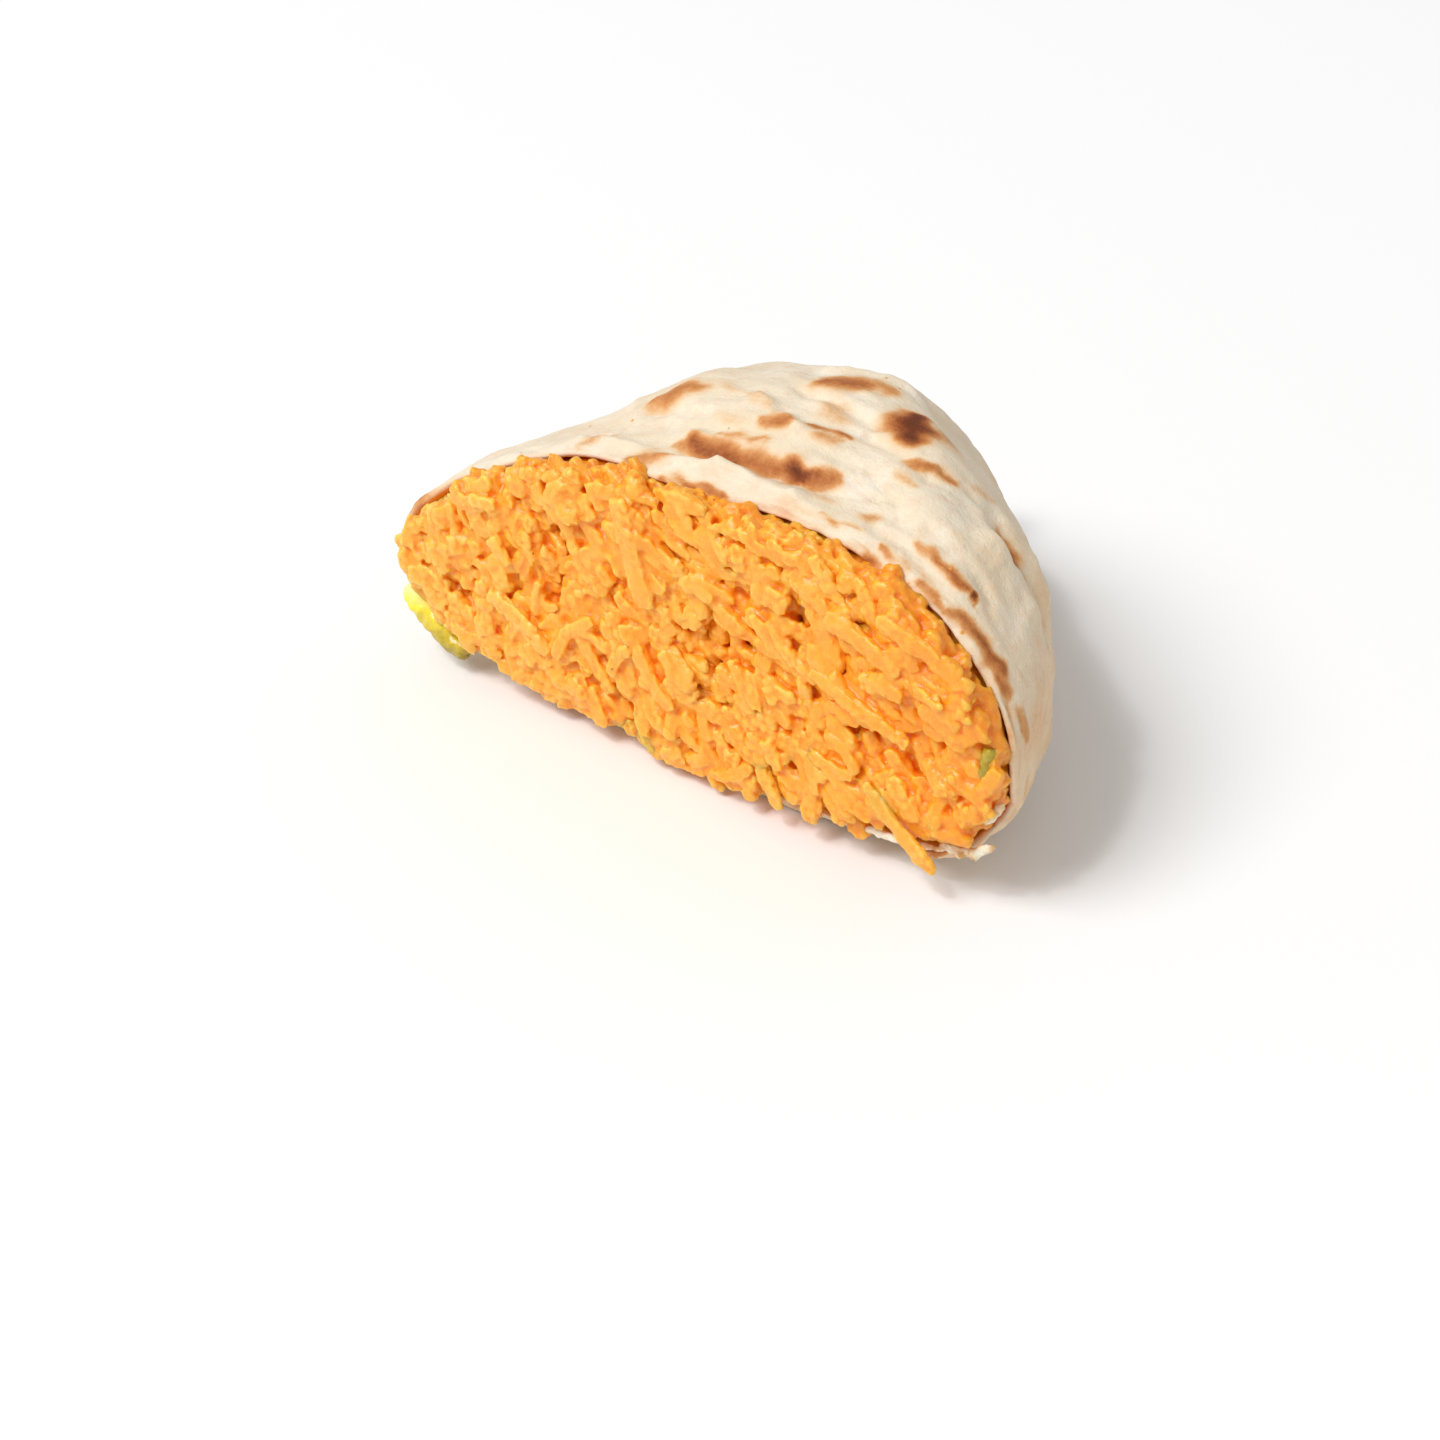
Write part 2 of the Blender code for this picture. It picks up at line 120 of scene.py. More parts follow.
# Scorched blisters: the places of their two ends, width, how dark, how far raised. Millimetres.
SCORCH_MARKS = [
    ((-22, -24, 56), (-15, -21, 59), 3.6, 0.52, 0.8),
    ((-14, -18, 60), (-6, -21, 63), 1.5, 0.32, 0.4),
    ((-5, -21, 63), (6, -26, 64), 1.5, 0.28, 0.3),
    ((4, -12, 63), (10, -9, 63), 4.2, 0.62, 0.6),
    ((9, -8, 63), (15, -7, 63), 3.2, 0.42, 0.5),
    ((9, -18, 64), (14, -20, 64), 3.4, 0.30, 0.5),
    ((2, -28, 64), (8, -27, 64), 2.0, 0.55, 0.9),
    ((10, -25, 64), (18, -23, 63), 1.4, 0.60, 0.6),
    ((13, -27, 63), (17, -25, 63), 2.0, 0.36, 0.4),
    ((-6, -28, 61), (1, -29, 63), 1.4, 0.22, 0.3),
    ((-3, -31, 60), (7, -31, 62), 1.3, 0.42, 0.5),
    ((-9, -35, 57), (-3, -34, 58), 2.0, 0.42, 0.2),
    ((-6, -34, 58), (4, -35, 60), 2.9, 0.70, 0.2),
    ((2, -35, 60), (12, -34, 60), 2.9, 0.58, 0.2),
    ((11, -34, 61), (17, -33.6, 61), 2.4, 0.86, 0.0),
    ((16, -34, 61), (22, -32, 61), 2.3, 0.66, 0.3),
    ((-15, -41, 56), (-6, -39, 57), 2.0, 0.48, 0.5),
    ((-26, -39, 53), (-23, -35, 53), 2.6, 0.34, 0.3),
    ((-14, -39, 56), (-11, -37, 57), 1.1, 0.28, 0.0),
    ((-6, -42.4, 56), (7, -42.4, 58), 1.2, 0.60, 0.3),
    ((-64, -42, 27), (-58, -42, 38), 3.4, 0.50, 0.0),
    ((-58, -42, 38), (-48, -42, 44), 1.6, 0.40, 0.0),
    ((25.3, -17, 63), (22.4, -12.2, 62.8), 5.0, 0.92, 0.4),
    ((27, -15, 62), (29, -8, 60), 4.2, 0.36, 0.4),
    ((29, -23, 63), (33.5, -22, 63), 1.8, 0.56, 0.3),
    ((32, -22, 63), (36, -20, 60), 2.0, 0.50, 0.3),
    ((29, -26, 62), (34, -27, 62), 1.4, 0.40, 0.3),
    ((38, -17, 58), (40, -14, 55), 1.5, 0.26, 0.2),
    ((30, -36, 60), (33, -36, 59), 1.7, 0.40, 0.4),
    ((25, -40, 60), (29, -41, 60), 0.8, 0.42, 0.0),
    ((36, -40.6, 58), (43, -41, 57), 1.2, 0.48, 0.3),
    ((40, -36, 59), (46, -37, 57), 1.3, 0.46, 0.3),
    ((44, -37, 58), (51, -37, 54), 1.4, 0.66, 0.3),
    ((51.6, -37, 53.4), (52.2, -37, 52.8), 0.9, 1.0, 0.0),
    ((34, -42.6, 58), (39, -43, 57), 1.2, 0.62, 0.2),
    ((44, -42, 56), (50, -42, 53), 1.2, 0.50, 0.2),
    ((51, -41, 53), (56, -40, 49), 1.8, 0.58, 0.2),
    ((55, -40, 50), (60, -40, 44), 2.0, 0.66, 0.2),
    ((59, -40.6, 45), (62, -40.6, 40), 1.2, 0.56, 0.2),
    ((45, -18, 54), (48, -19, 52), 2.2, 0.56, 0.0),
    ((47.5, -19, 52), (50.5, -20, 49), 2.2, 0.68, 0.0),
    ((49.4, -19.4, 50), (50, -19.4, 49.4), 0.9, 1.0, 0.0),
    ((47, -24, 54), (49, -25, 53), 1.1, 0.44, 0.2),
    ((44, -32, 60), (45, -31, 59), 1.6, 0.18, 0.0),
    # The sides and back, which scorch in the same way.
    ((54, -8, 40), (57, -16, 34), 2.0, 0.66, 0.3),
    ((45, -2, 41), (49, -8, 37), 3.0, 0.55, 0.4),
    ((30, 10, 50), (36, 6, 46), 3.6, 0.68, 0.4),
    ((38, 16, 34), (42, 8, 30), 2.6, 0.48, 0.4),
    ((10, 18, 53), (17, 16, 52), 3.8, 0.56, 0.5),
    ((-8, 10, 57), (0, 14, 55), 3.0, 0.42, 0.5),
    ((-22, 2, 52), (-14, 6, 54), 3.6, 0.62, 0.5),
    ((-36, -12, 46), (-30, -8, 48), 3.2, 0.46, 0.4),
    ((-46, -24, 40), (-42, -20, 42), 2.6, 0.40, 0.4),
    ((-50, -22, 30), (-44, -14, 30), 3.8, 0.66, 0.4),
    ((-36, 2, 30), (-30, 8, 30), 4.2, 0.80, 0.4),
    ((-28, 16, 34), (-22, 20, 34), 2.8, 0.48, 0.4),
    ((-16, 26, 36), (-8, 28, 37), 3.4, 0.60, 0.4),
    ((6, 30, 34), (12, 26, 36), 3.2, 0.74, 0.4),
    ((18, 24, 26), (22, 20, 22), 3.0, 0.50, 0.4),
    ((-10, 38, 22), (-6, 42, 18), 2.6, 0.66, 0.3),
    ((0, 42, 14), (-4, 47, 12), 2.2, 0.80, 0.2),
    ((-12, 34, 12), (-8, 40, 12), 2.2, 0.56, 0.3),
    ((-56, -30, 18), (-52, -24, 16), 3.0, 0.58, 0.3),
    ((56, -30, 22), (54, -20, 18), 3.2, 0.56, 0.3),
    ((40, -2, 14), (44, -10, 12), 3.2, 0.60, 0.3),
]

# Folds and wrinkles of the sheet: the two ends, width, height. A negative height is a crease.
FOLDS = [
    ((-9, -40, 57), (3, -38, 59), 1.5, 1.1),
    ((3, -38, 59), (19, -38.5, 59), 1.5, 1.3),
    ((19, -38.5, 59), (40, -40, 58), 1.6, 0.8),
    ((-8, -32.2, 58), (14, -31, 61), 1.2, 1.1),
    ((14, -31, 61), (22, -30, 61), 1.2, 0.9),
    ((-6, -36.4, 58), (22, -34.6, 61), 1.3, -0.9),
    ((23, -35, 61), (29, -32, 61), 0.6, -0.7),
    ((29, -32, 61), (33, -31, 61), 0.6, -0.6),
    ((25, -28, 62), (30, -30, 61), 0.6, -0.5),
    ((30, -30, 61), (36, -34, 60), 0.6, -0.5),
    ((44, -17, 55), (48, -20, 52), 2.0, -1.8),
    ((48, -20, 52), (53, -19.5, 45), 2.0, -2.0),
    ((53, -19.5, 45), (56, -21, 38), 1.6, -1.2),
    ((42, -22, 57), (46, -26, 55), 2.4, 0.9),
    ((46, -26, 55), (54, -26, 46), 3.0, 1.4),
    ((50, -13, 47), (55, -14, 38), 2.2, 1.6),
    ((-22, -26, 55), (-8, -27, 60), 1.2, -0.7),
    ((-2, -22, 63), (10, -27, 64), 1.1, 0.8),
    ((10, -27, 64), (24, -26, 63), 1.0, 0.8),
    ((20, -21, 63), (34, -24, 62), 1.2, -0.8),
    ((34, -20, 61), (44, -18, 55), 1.4, -0.7),
    ((-30, -36, 52), (-12, -38, 56), 1.1, 0.7),
    ((-40, -38, 47), (-26, -33, 52), 1.1, -0.6),
    ((2, -16, 64), (20, -18, 64), 1.3, -0.8),
    ((0, -4, 62), (18, -2, 61), 1.6, 0.8),
    ((-30, -20, 52), (-22, -30, 55), 1.5, 0.7),
    ((34, -36, 60), (50, -36, 56), 0.9, 0.6),
    ((40, -33, 60), (54, -34, 52), 0.8, -0.5),
    # The tail, gathered by hand before baking.
    ((-10, 20, 48), (-4, 44, 15), 1.8, -1.5),
    ((6, 22, 44), (-1, 44, 15), 1.8, -1.6),
    ((-20, 22, 36), (-7, 44, 14), 1.8, -1.4),
    ((-2, 24, 44), (-3, 44, 15), 1.6, 1.2),
    ((16, 26, 30), (1, 44, 13), 1.6, -1.2),
    ((-14, 22, 44), (-6, 43, 16), 1.6, 1.1),
]


def stroke_reach(points, start, end, width, pointed=0.0):
    """How far each point is from the line between two places, as a share of the width."""
    a, b = np.array(start) * MM, np.array(end) * MM
    run = b - a
    share = np.clip((points - a) @ run / max(run @ run, 1e-12), 0, 1)
    away = np.linalg.norm(points - a - share[:, None] * run, axis=1)
    return away / (width * MM * (1 - pointed * (2 * share - 1) ** 2))


def wave(points, size, seed=0.0, stretch=(1, 1, 1)):
    """Smooth noise at each point, about 0 and at most 1, with waves of this size in millimetres."""
    scaled = points / (size * MM) * np.array(stretch) + seed
    return np.array([noise.noise(p) for p in scaled.tolist()])


def places_and_normals(builder):
    """Where each corner lies and which way it faces, as two arrays."""
    builder.normal_update()
    places = np.array([v.co[:] for v in builder.verts])
    return places, np.array([v.normal[:] for v in builder.verts])


def move_to(builder, places):
    """Moves each corner to its place in the array."""
    for vert, place in zip(builder.verts, places.tolist()):
        vert.co = place


def touches(builder, *classes):
    """1 at each corner that one of these classes of face meets, and 0 elsewhere."""
    return np.array([
        any(face.material_index in classes for face in vert.link_faces) for vert in builder.verts
    ], float)


# Marks and folds wander from their lines by about this many millimetres, so none looks ruled.
MARK_WANDER = 1.2
FOLD_WANDER = 0.6
MARK_STRENGTH = 1.15
MARK_POINTED = 0.35
BLISTER_HEIGHT = 0.8
FOLD_HEIGHT = 1.2
DEEPEST_CREASE = -1.3

on_skin = touches(crust, OUTER)
on_lining = touches(crust, LINING)
places, normals = places_and_normals(crust)
wobble = np.stack([wave(places, 3.2, seed) for seed in (3.1, 8.4, 15.7)], axis=1)
mark_places = places + wobble * MARK_WANDER * MM
fold_places = places + wobble * FOLD_WANDER * MM

scorch = np.zeros(len(places))
raised = np.zeros(len(places))
for start, end, width, darkness, rise in SCORCH_MARKS:
    reach = stroke_reach(mark_places, start, end, width, MARK_POINTED)
    scorch = np.maximum(scorch, MARK_STRENGTH * darkness * np.exp(-1.1 * reach**2))
    raised += BLISTER_HEIGHT * rise * np.exp(-0.9 * reach**2)
for start, end, width, height in FOLDS:
    reach = stroke_reach(fold_places, start, end, width)
    raised += FOLD_HEIGHT * height * np.exp(-reach**2)

# Relief of the whole sheet, strongest where the rim is puckered at the right.
behind = (places[:, 1] - CUT_Y) / MM
right_half = np.clip((places[:, 0] / MM - 4) / 24, 0, 1)
puckered = np.exp(-((behind - 6) / 6) ** 2) * (0.25 + 0.75 * right_half)
upper = np.clip(normals[:, 2] * 1.5 + 0.6, 0, 1)
raised *= 0.4 + 0.6 * upper
raised += 0.75 * wave(places, 9, 21.0)
raised += 0.36 * wave(places, 4.2, 37.0, (0.7, 1.4, 0.7))
raised += 0.62 * puckered * wave(places, 2.6, 51.0, (0.35, 1.6, 0.35))
raised += 0.10 * wave(places, 1.6, 57.0)
raised = np.maximum(raised, DEEPEST_CREASE)
near_floor = np.clip(places[:, 2] / (3 * MM), 0, 1)
places += normals * (raised * near_floor * on_skin * MM)[:, None]

# The rim's edge, ragged in Y and curled in or out.
MIDDLE_HEIGHT = 28 * MM
LEAST_HEIGHT = 0.05 * MM
ahead = np.clip(1 - behind / 9, 0, 1)
ragged = 1.1 * wave(places, 5, 71.0) + 0.8 * wave(places, 2, 77.0) + 0.4 * wave(places, 0.9, 79.0)
places[:, 1] += ahead**3 * (0.3 + ragged) * MM
curl = 0.8 * wave(places, 6, 85.0) + 0.45 * wave(places, 2.2, 88.0)
radial = places * np.array([1, 0, 1]) - np.array([0, 0, MIDDLE_HEIGHT])
radial /= np.linalg.norm(radial, axis=1)[:, None]
places += radial * (np.clip(ahead * 1.6 - 0.6, 0, 1) * curl * near_floor * MM)[:, None]
places[:, 2] = np.maximum(places[:, 2], LEAST_HEIGHT)
move_to(crust, places)

# Toasting along the knife's edge, in the wrinkles of the puckered rim and down the flanks.
rim_heat = np.clip(1 - (behind - 1.2) / 3.2, 0, 1)
right_rim = np.clip((places[:, 0] / MM - 24) / 18, 0, 1) * np.clip(places[:, 2] / (30 * MM), 0, 1)
left_rim = np.clip((-46 - places[:, 0] / MM) / 8, 0, 1) * (places[:, 2] > 22 * MM)
patchy = np.clip(0.55 + 1.3 * wave(places, 6, 91.0), 0, 1)
streaked = np.clip(0.6 + 1.2 * wave(places, 1.6, 93.0, (0.35, 1.6, 0.35)), 0, 1)
rim_toast = 0.38 + 0.34 * patchy + 0.24 * right_rim + 0.45 * left_rim
scorch = np.maximum(scorch, rim_heat * streaked * rim_toast)
wrinkles = np.clip(1.9 * wave(places, 2.6, 96.0, (0.3, 1.7, 0.3)), 0, 1)
scorch = np.maximum(scorch, 0.42 * puckered * wrinkles)
flank = np.clip(1.15 - 1.3 * normals[:, 2], 0, 1) * (normals[:, 1] > -0.7)
scorch = np.maximum(scorch, 0.24 * flank * (1 + 0.5 * wave(places, 9, 99.0)))

# Oil stains along the upper rim: the places of their two ends, width. Millimetres.
OIL_STAINS = [
    ((-12, -45.5, 56.4), (4, -45.5, 59.6), 2.6),
    ((22, -45.5, 61), (32, -45.5, 59.8), 2.6),
    ((35, -45.5, 58), (56, -45.5, 50.6), 2.4),
]
oil = np.zeros(len(places))
for start, end, width in OIL_STAINS:
    reach = stroke_reach(mark_places, start, end, width)
    oil = np.maximum(oil, np.clip(1.5 - 1.2 * reach, 0, 1))
oil *= np.clip(1 - (behind - 1.4) / 2.2, 0, 1)


def finished_piece(name, builder, slot, *nodes):
    """Makes an object of the mesh, on the part's one body, standing for the named nodes."""
    mesh = bpy.data.meshes.new(name)
    builder.to_mesh(mesh)
    builder.free()
    mesh.shade_smooth()
    piece = bpy.data.objects.new(name, mesh)
    bpy.context.scene.collection.objects.link(piece)
    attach(piece, "root")
    if nodes:
        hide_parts(*nodes)
    return piece


def dress(piece, material, **values):
    """Gives the piece its material, and the numbers that it reads at each corner of the mesh."""
    piece.data.materials.clear()
    piece.data.materials.append(material)
    for name, numbers in values.items():
        kept = piece.data.attributes.new(name, "FLOAT", "POINT")
        kept.data.foreach_set("value", np.asarray(numbers, np.float32))


def new_material(name):
    """A named material, its nodes and links, and its Principled shader."""
    made = bpy.data.materials.new(name)
    made.use_nodes = True
    nodes = made.node_tree.nodes
    return made, nodes, made.node_tree.links, nodes["Principled BSDF"]


def stretched_coordinates(nodes, links, stretch):
    """The piece's own coordinates, stretched."""
    coordinates = nodes.new("ShaderNodeTexCoord")
    mapping = nodes.new("ShaderNodeMapping")
    mapping.inputs["Scale"].default_value = stretch
    links.new(coordinates.outputs["Object"], mapping.inputs["Vector"])
    return mapping.outputs["Vector"]


def noise_texture(nodes, links, size, detail=3.0, roughness=0.5, stretch=(1, 1, 1)):
    """A noise on the piece's own coordinates, with waves of about this size in millimetres."""
    texture = nodes.new("ShaderNodeTexNoise")
    texture.inputs["Scale"].default_value = 1 / (size * MM)
    texture.inputs["Detail"].default_value = detail
    texture.inputs["Roughness"].default_value = roughness
    links.new(stretched_coordinates(nodes, links, stretch), texture.inputs["Vector"])
    return texture.outputs["Fac"]


def stored(nodes, name):
    """The number that a piece keeps at each corner under this name."""
    attribute = nodes.new("ShaderNodeAttribute")
    attribute.attribute_name = name
    return attribute.outputs["Fac"]


def join_values(links, *pairs):
    """Sets each input to a number or a colour, or links it to a socket."""
    for value, socket in pairs:
        if isinstance(value, bpy.types.NodeSocket):
            links.new(value, socket)
        elif isinstance(value, tuple):
            socket.default_value = (*value, 1)
        else:
            socket.default_value = value


def ramp(nodes, links, source, stops):
    """Colours read along a value: the stops are the value and the colour."""
    made = nodes.new("ShaderNodeValToRGB")
    elements = made.color_ramp.elements
    while len(elements) < len(stops):
        elements.new(0.5)
    for element, (place, colour) in zip(elements, stops):
        element.position = place
        element.color = (*colour, 1)
    links.new(source, made.inputs["Fac"])
    return made.outputs["Color"]


def blend(nodes, links, share, first, second):
    """Mixes two colours, the second by this share."""
    mix = nodes.new("ShaderNodeMix")
    mix.data_type = "RGBA"
    join_values(links, (share, mix.inputs[0]), (first, mix.inputs[6]), (second, mix.inputs[7]))
    return mix.outputs[2]


def arithmetic(nodes, links, operation, *values):
    """One sum or comparison of numbers and sockets."""
    made = nodes.new("ShaderNodeMath")
    made.operation = operation
    join_values(links, *zip(values, made.inputs))
    return made.outputs[0]


def between(nodes, links, source, low, high, new_low=0.0, new_high=1.0):
    """Reads a value's stretch from low to high as a stretch from new_low to new_high."""
    made = nodes.new("ShaderNodeMapRange")
    ends = (low, high, new_low, new_high)
    names = ("From Min", "From Max", "To Min", "To Max")
    join_values(links, (source, made.inputs["Value"]), *zip(ends, (made.inputs[n] for n in names)))
    return made.outputs["Result"]


def bumpy(nodes, links, shader, layers):
    """Fine relief: each layer is a value and its height in millimetres."""
    normal = None
    for height, depth in layers:
        bump = nodes.new("ShaderNodeBump")
        bump.inputs["Distance"].default_value = depth * MM
        links.new(height, bump.inputs["Height"])
        if normal:
            links.new(normal, bump.inputs["Normal"])
        normal = bump.outputs["Normal"]
    links.new(normal, shader.inputs["Normal"])


def soft_inside(shader, weight, radius, scale):
    """Light that enters the surface and spreads, by colour, this many millimetres."""
    shader.inputs["Subsurface Weight"].default_value = weight
    shader.inputs["Subsurface Radius"].default_value = radius
    shader.inputs["Subsurface Scale"].default_value = scale * MM


def specks(nodes, links, spacing, radius, rarity):
    """Scattered round dots, 1 inside a dot: their spacing and radius in millimetres."""
    cells = nodes.new("ShaderNodeTexVoronoi")
    cells.inputs["Scale"].default_value = 1 / (spacing * MM)
    links.new(stretched_coordinates(nodes, links, (1, 1, 1)), cells.inputs["Vector"])
    chosen = nodes.new("ShaderNodeSeparateColor")
    links.new(cells.outputs["Color"], chosen.inputs["Color"])
    few = arithmetic(nodes, links, "GREATER_THAN", chosen.outputs["Red"], rarity)
    share = radius / spacing
    dot = between(nodes, links, cells.outputs["Distance"], share, share * 0.6)
    return arithmetic(nodes, links, "MULTIPLY", few, dot)


CREAM = (0.80, 0.675, 0.49)
PALE_DOUGH = (0.87, 0.785, 0.645)
BLUSH = (0.76, 0.53, 0.34)
PALE_TOAST = (0.82, 0.62, 0.38)
TOASTED = (0.76, 0.46, 0.22)
BROWNED = (0.64, 0.29, 0.100)
BROWN = (0.47, 0.160, 0.042)
DARK_BROWN = (0.28, 0.074, 0.017)
CHARRED = (0.15, 0.034, 0.009)
OLIVE_OIL_STAIN = (0.56, 0.36, 0.05)
SOAKED_LINING = (0.84, 0.46, 0.075)
OIL_SPECK = (0.72, 0.30, 0.05)
BURNT_SPECK = (0.20, 0.07, 0.03)


def baked_dough():
    """Pale dusty dough, toasted to brown and char by the stored scorch, stained by the oil."""
    made, nodes, links, shader = new_material("baked_dough")
    clouds = noise_texture(nodes, links, 12, 4.0, 0.55)
    mottle = noise_texture(nodes, links, 3.0, 5.0, 0.62)
    streaks = noise_texture(nodes, links, 2.6, 4.0, 0.6, (0.4, 1.7, 0.4))
    freckles = noise_texture(nodes, links, 0.9, 2.0, 0.6)
    grains = noise_texture(nodes, links, 0.45, 2.0, 0.5)
    base = blend(nodes, links, between(nodes, links, clouds, 0.35, 0.65), CREAM, PALE_DOUGH)
    base = blend(nodes, links, between(nodes, links, mottle, 0.45, 0.80, 0.0, 0.8), base, BLUSH)
    base = blend(nodes, links, between(nodes, links, streaks, 0.50, 0.85, 0.0, 0.45), base, BLUSH)
    burn = stored(nodes, "scorch")
    rough_edge = arithmetic(nodes, links, "MULTIPLY_ADD", mottle, 0.8, -0.4)
    speckle = arithmetic(nodes, links, "MULTIPLY_ADD", freckles, 0.8, -0.4)
    uneven = arithmetic(nodes, links, "ADD", rough_edge, speckle)
    softened = between(nodes, links, burn, 0.0, 0.5, 0.0, 0.30)
    reach = arithmetic(nodes, links, "MULTIPLY_ADD", uneven, softened, burn)
    share = between(nodes, links, reach, 0.02, 0.40)
    burnt = ramp(nodes, links, reach, [
        (0.10, PALE_TOAST),
        (0.28, TOASTED),
        (0.46, BROWNED),
        (0.64, BROWN),
        (0.82, DARK_BROWN),
        (1.00, CHARRED),
    ])
    colour = blend(nodes, links, share, base, burnt)
    oil_dots = specks(nodes, links, 5.5, 0.42, 0.60)
    colour = blend(nodes, links, oil_dots, colour, OIL_SPECK)
    burnt_dots = specks(nodes, links, 8.5, 0.36, 0.72)
    colour = blend(nodes, links, burnt_dots, colour, BURNT_SPECK)
    soaked = arithmetic(nodes, links, "MULTIPLY", stored(nodes, "oil"), 0.85)
    colour = blend(nodes, links, soaked, colour, OLIVE_OIL_STAIN)
    colour = blend(nodes, links, stored(nodes, "lining"), colour, SOAKED_LINING)
    links.new(colour, shader.inputs["Base Color"])
    links.new(between(nodes, links, grains, 0.3, 0.7, 0.52, 0.74), shader.inputs["Roughness"])
    shader.inputs["Specular IOR Level"].default_value = 0.22
    soft_inside(shader, 0.15, (1.0, 0.55, 0.3), 2.0)
    bumpy(nodes, links, shader, [(mottle, 0.30), (streaks, 0.16), (freckles, 0.10), (grains, 0.05)])
    return made


bread = finished_piece("flatbread_wrap", crust, "bread", "flatbread")
dress(bread, baked_dough(), scorch=scorch, oil=oil, lining=on_lining)

# The filling. Coarsely grated orange cheddar, pressed together by the wrap and cut through.
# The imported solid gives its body. Its cut face is pressed in a little, and shreds and crumbs are
# piled there, fused where they touch, because pressed cheese sticks to itself.
FACE_DEPTH = CUT_Y + 3.4 * MM
FACE_LIMIT = CUT_Y - 3.6 * MM
PRESSED_OUT = 0.2 * MM
FLOOR_GAP = 0.4 * MM
BODY_VOXEL = 1.0
CRUMB_VOXEL = 0.32
SHRED_SEED = 7
rng = random.Random(SHRED_SEED)


def pressed_heap():
    """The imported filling, swollen a little inside the wrap, its cut face pressed flat."""
    heap = merged_copy("grated_cheese")
    heap.normal_update()
    for vert in heap.verts:
        outward = Vector((vert.normal.x, 0, vert.normal.z))
        if vert.co.y > FACE_DEPTH:
            vert.co += outward * PRESSED_OUT
        vert.co.y = max(vert.co.y, FACE_DEPTH)
        vert.co.z = max(vert.co.z, FLOOR_GAP)
    return heap


def remeshed(builder, voxel):
    """The shape rebuilt from cubes of this size in millimetres, which also fuses what overlaps."""
    return after_modifier(builder, "REMESH", mode="VOXEL", voxel_size=voxel * MM)


# Hollows between the lumps on the cut: their middle in X and Z, radius, depth. Millimetres.
HOLLOWS = [
    (-28, 39, 3.0, 4.5), (-17, 54, 3.0, 3.5), (-36, 44, 2.4, 3.0), (-49, 19, 2.6, 3.0),
    (-25, 37, 2.6, 4.0), (-34, 26, 2.4, 3.5), (-27, 28, 2.2, 3.0), (-45, 17, 2.0, 2.5),
    (-42, 32, 2.4, 3.5), (-55, 26, 2.0, 2.5), (-10, 9, 3.0, 3.5), (6, 29, 3.6, 4.5),
    (11, 32, 3.0, 4.0), (19, 10, 2.4, 3.0), (13, 44, 3.0, 3.5), (-4, 54, 2.4, 3.0),
    (23, 31, 2.4, 3.0), (29, 30, 2.6, 3.4), (25, 45, 2.6, 3.0), (39, 41, 2.6, 3.0),
    (43, 25, 3.0, 3.6), (38, 29, 2.4, 2.6), (50, 23, 2.4, 2.4), (52, 30, 2.6, 3.0),
    (61, 31, 2.6, 3.4), (61, 42, 2.4, 2.6), (51, 11, 2.6, 2.4), (-14, 33, 2.0, 2.5),
]
HOLLOW_LEAN = math.radians(-42)


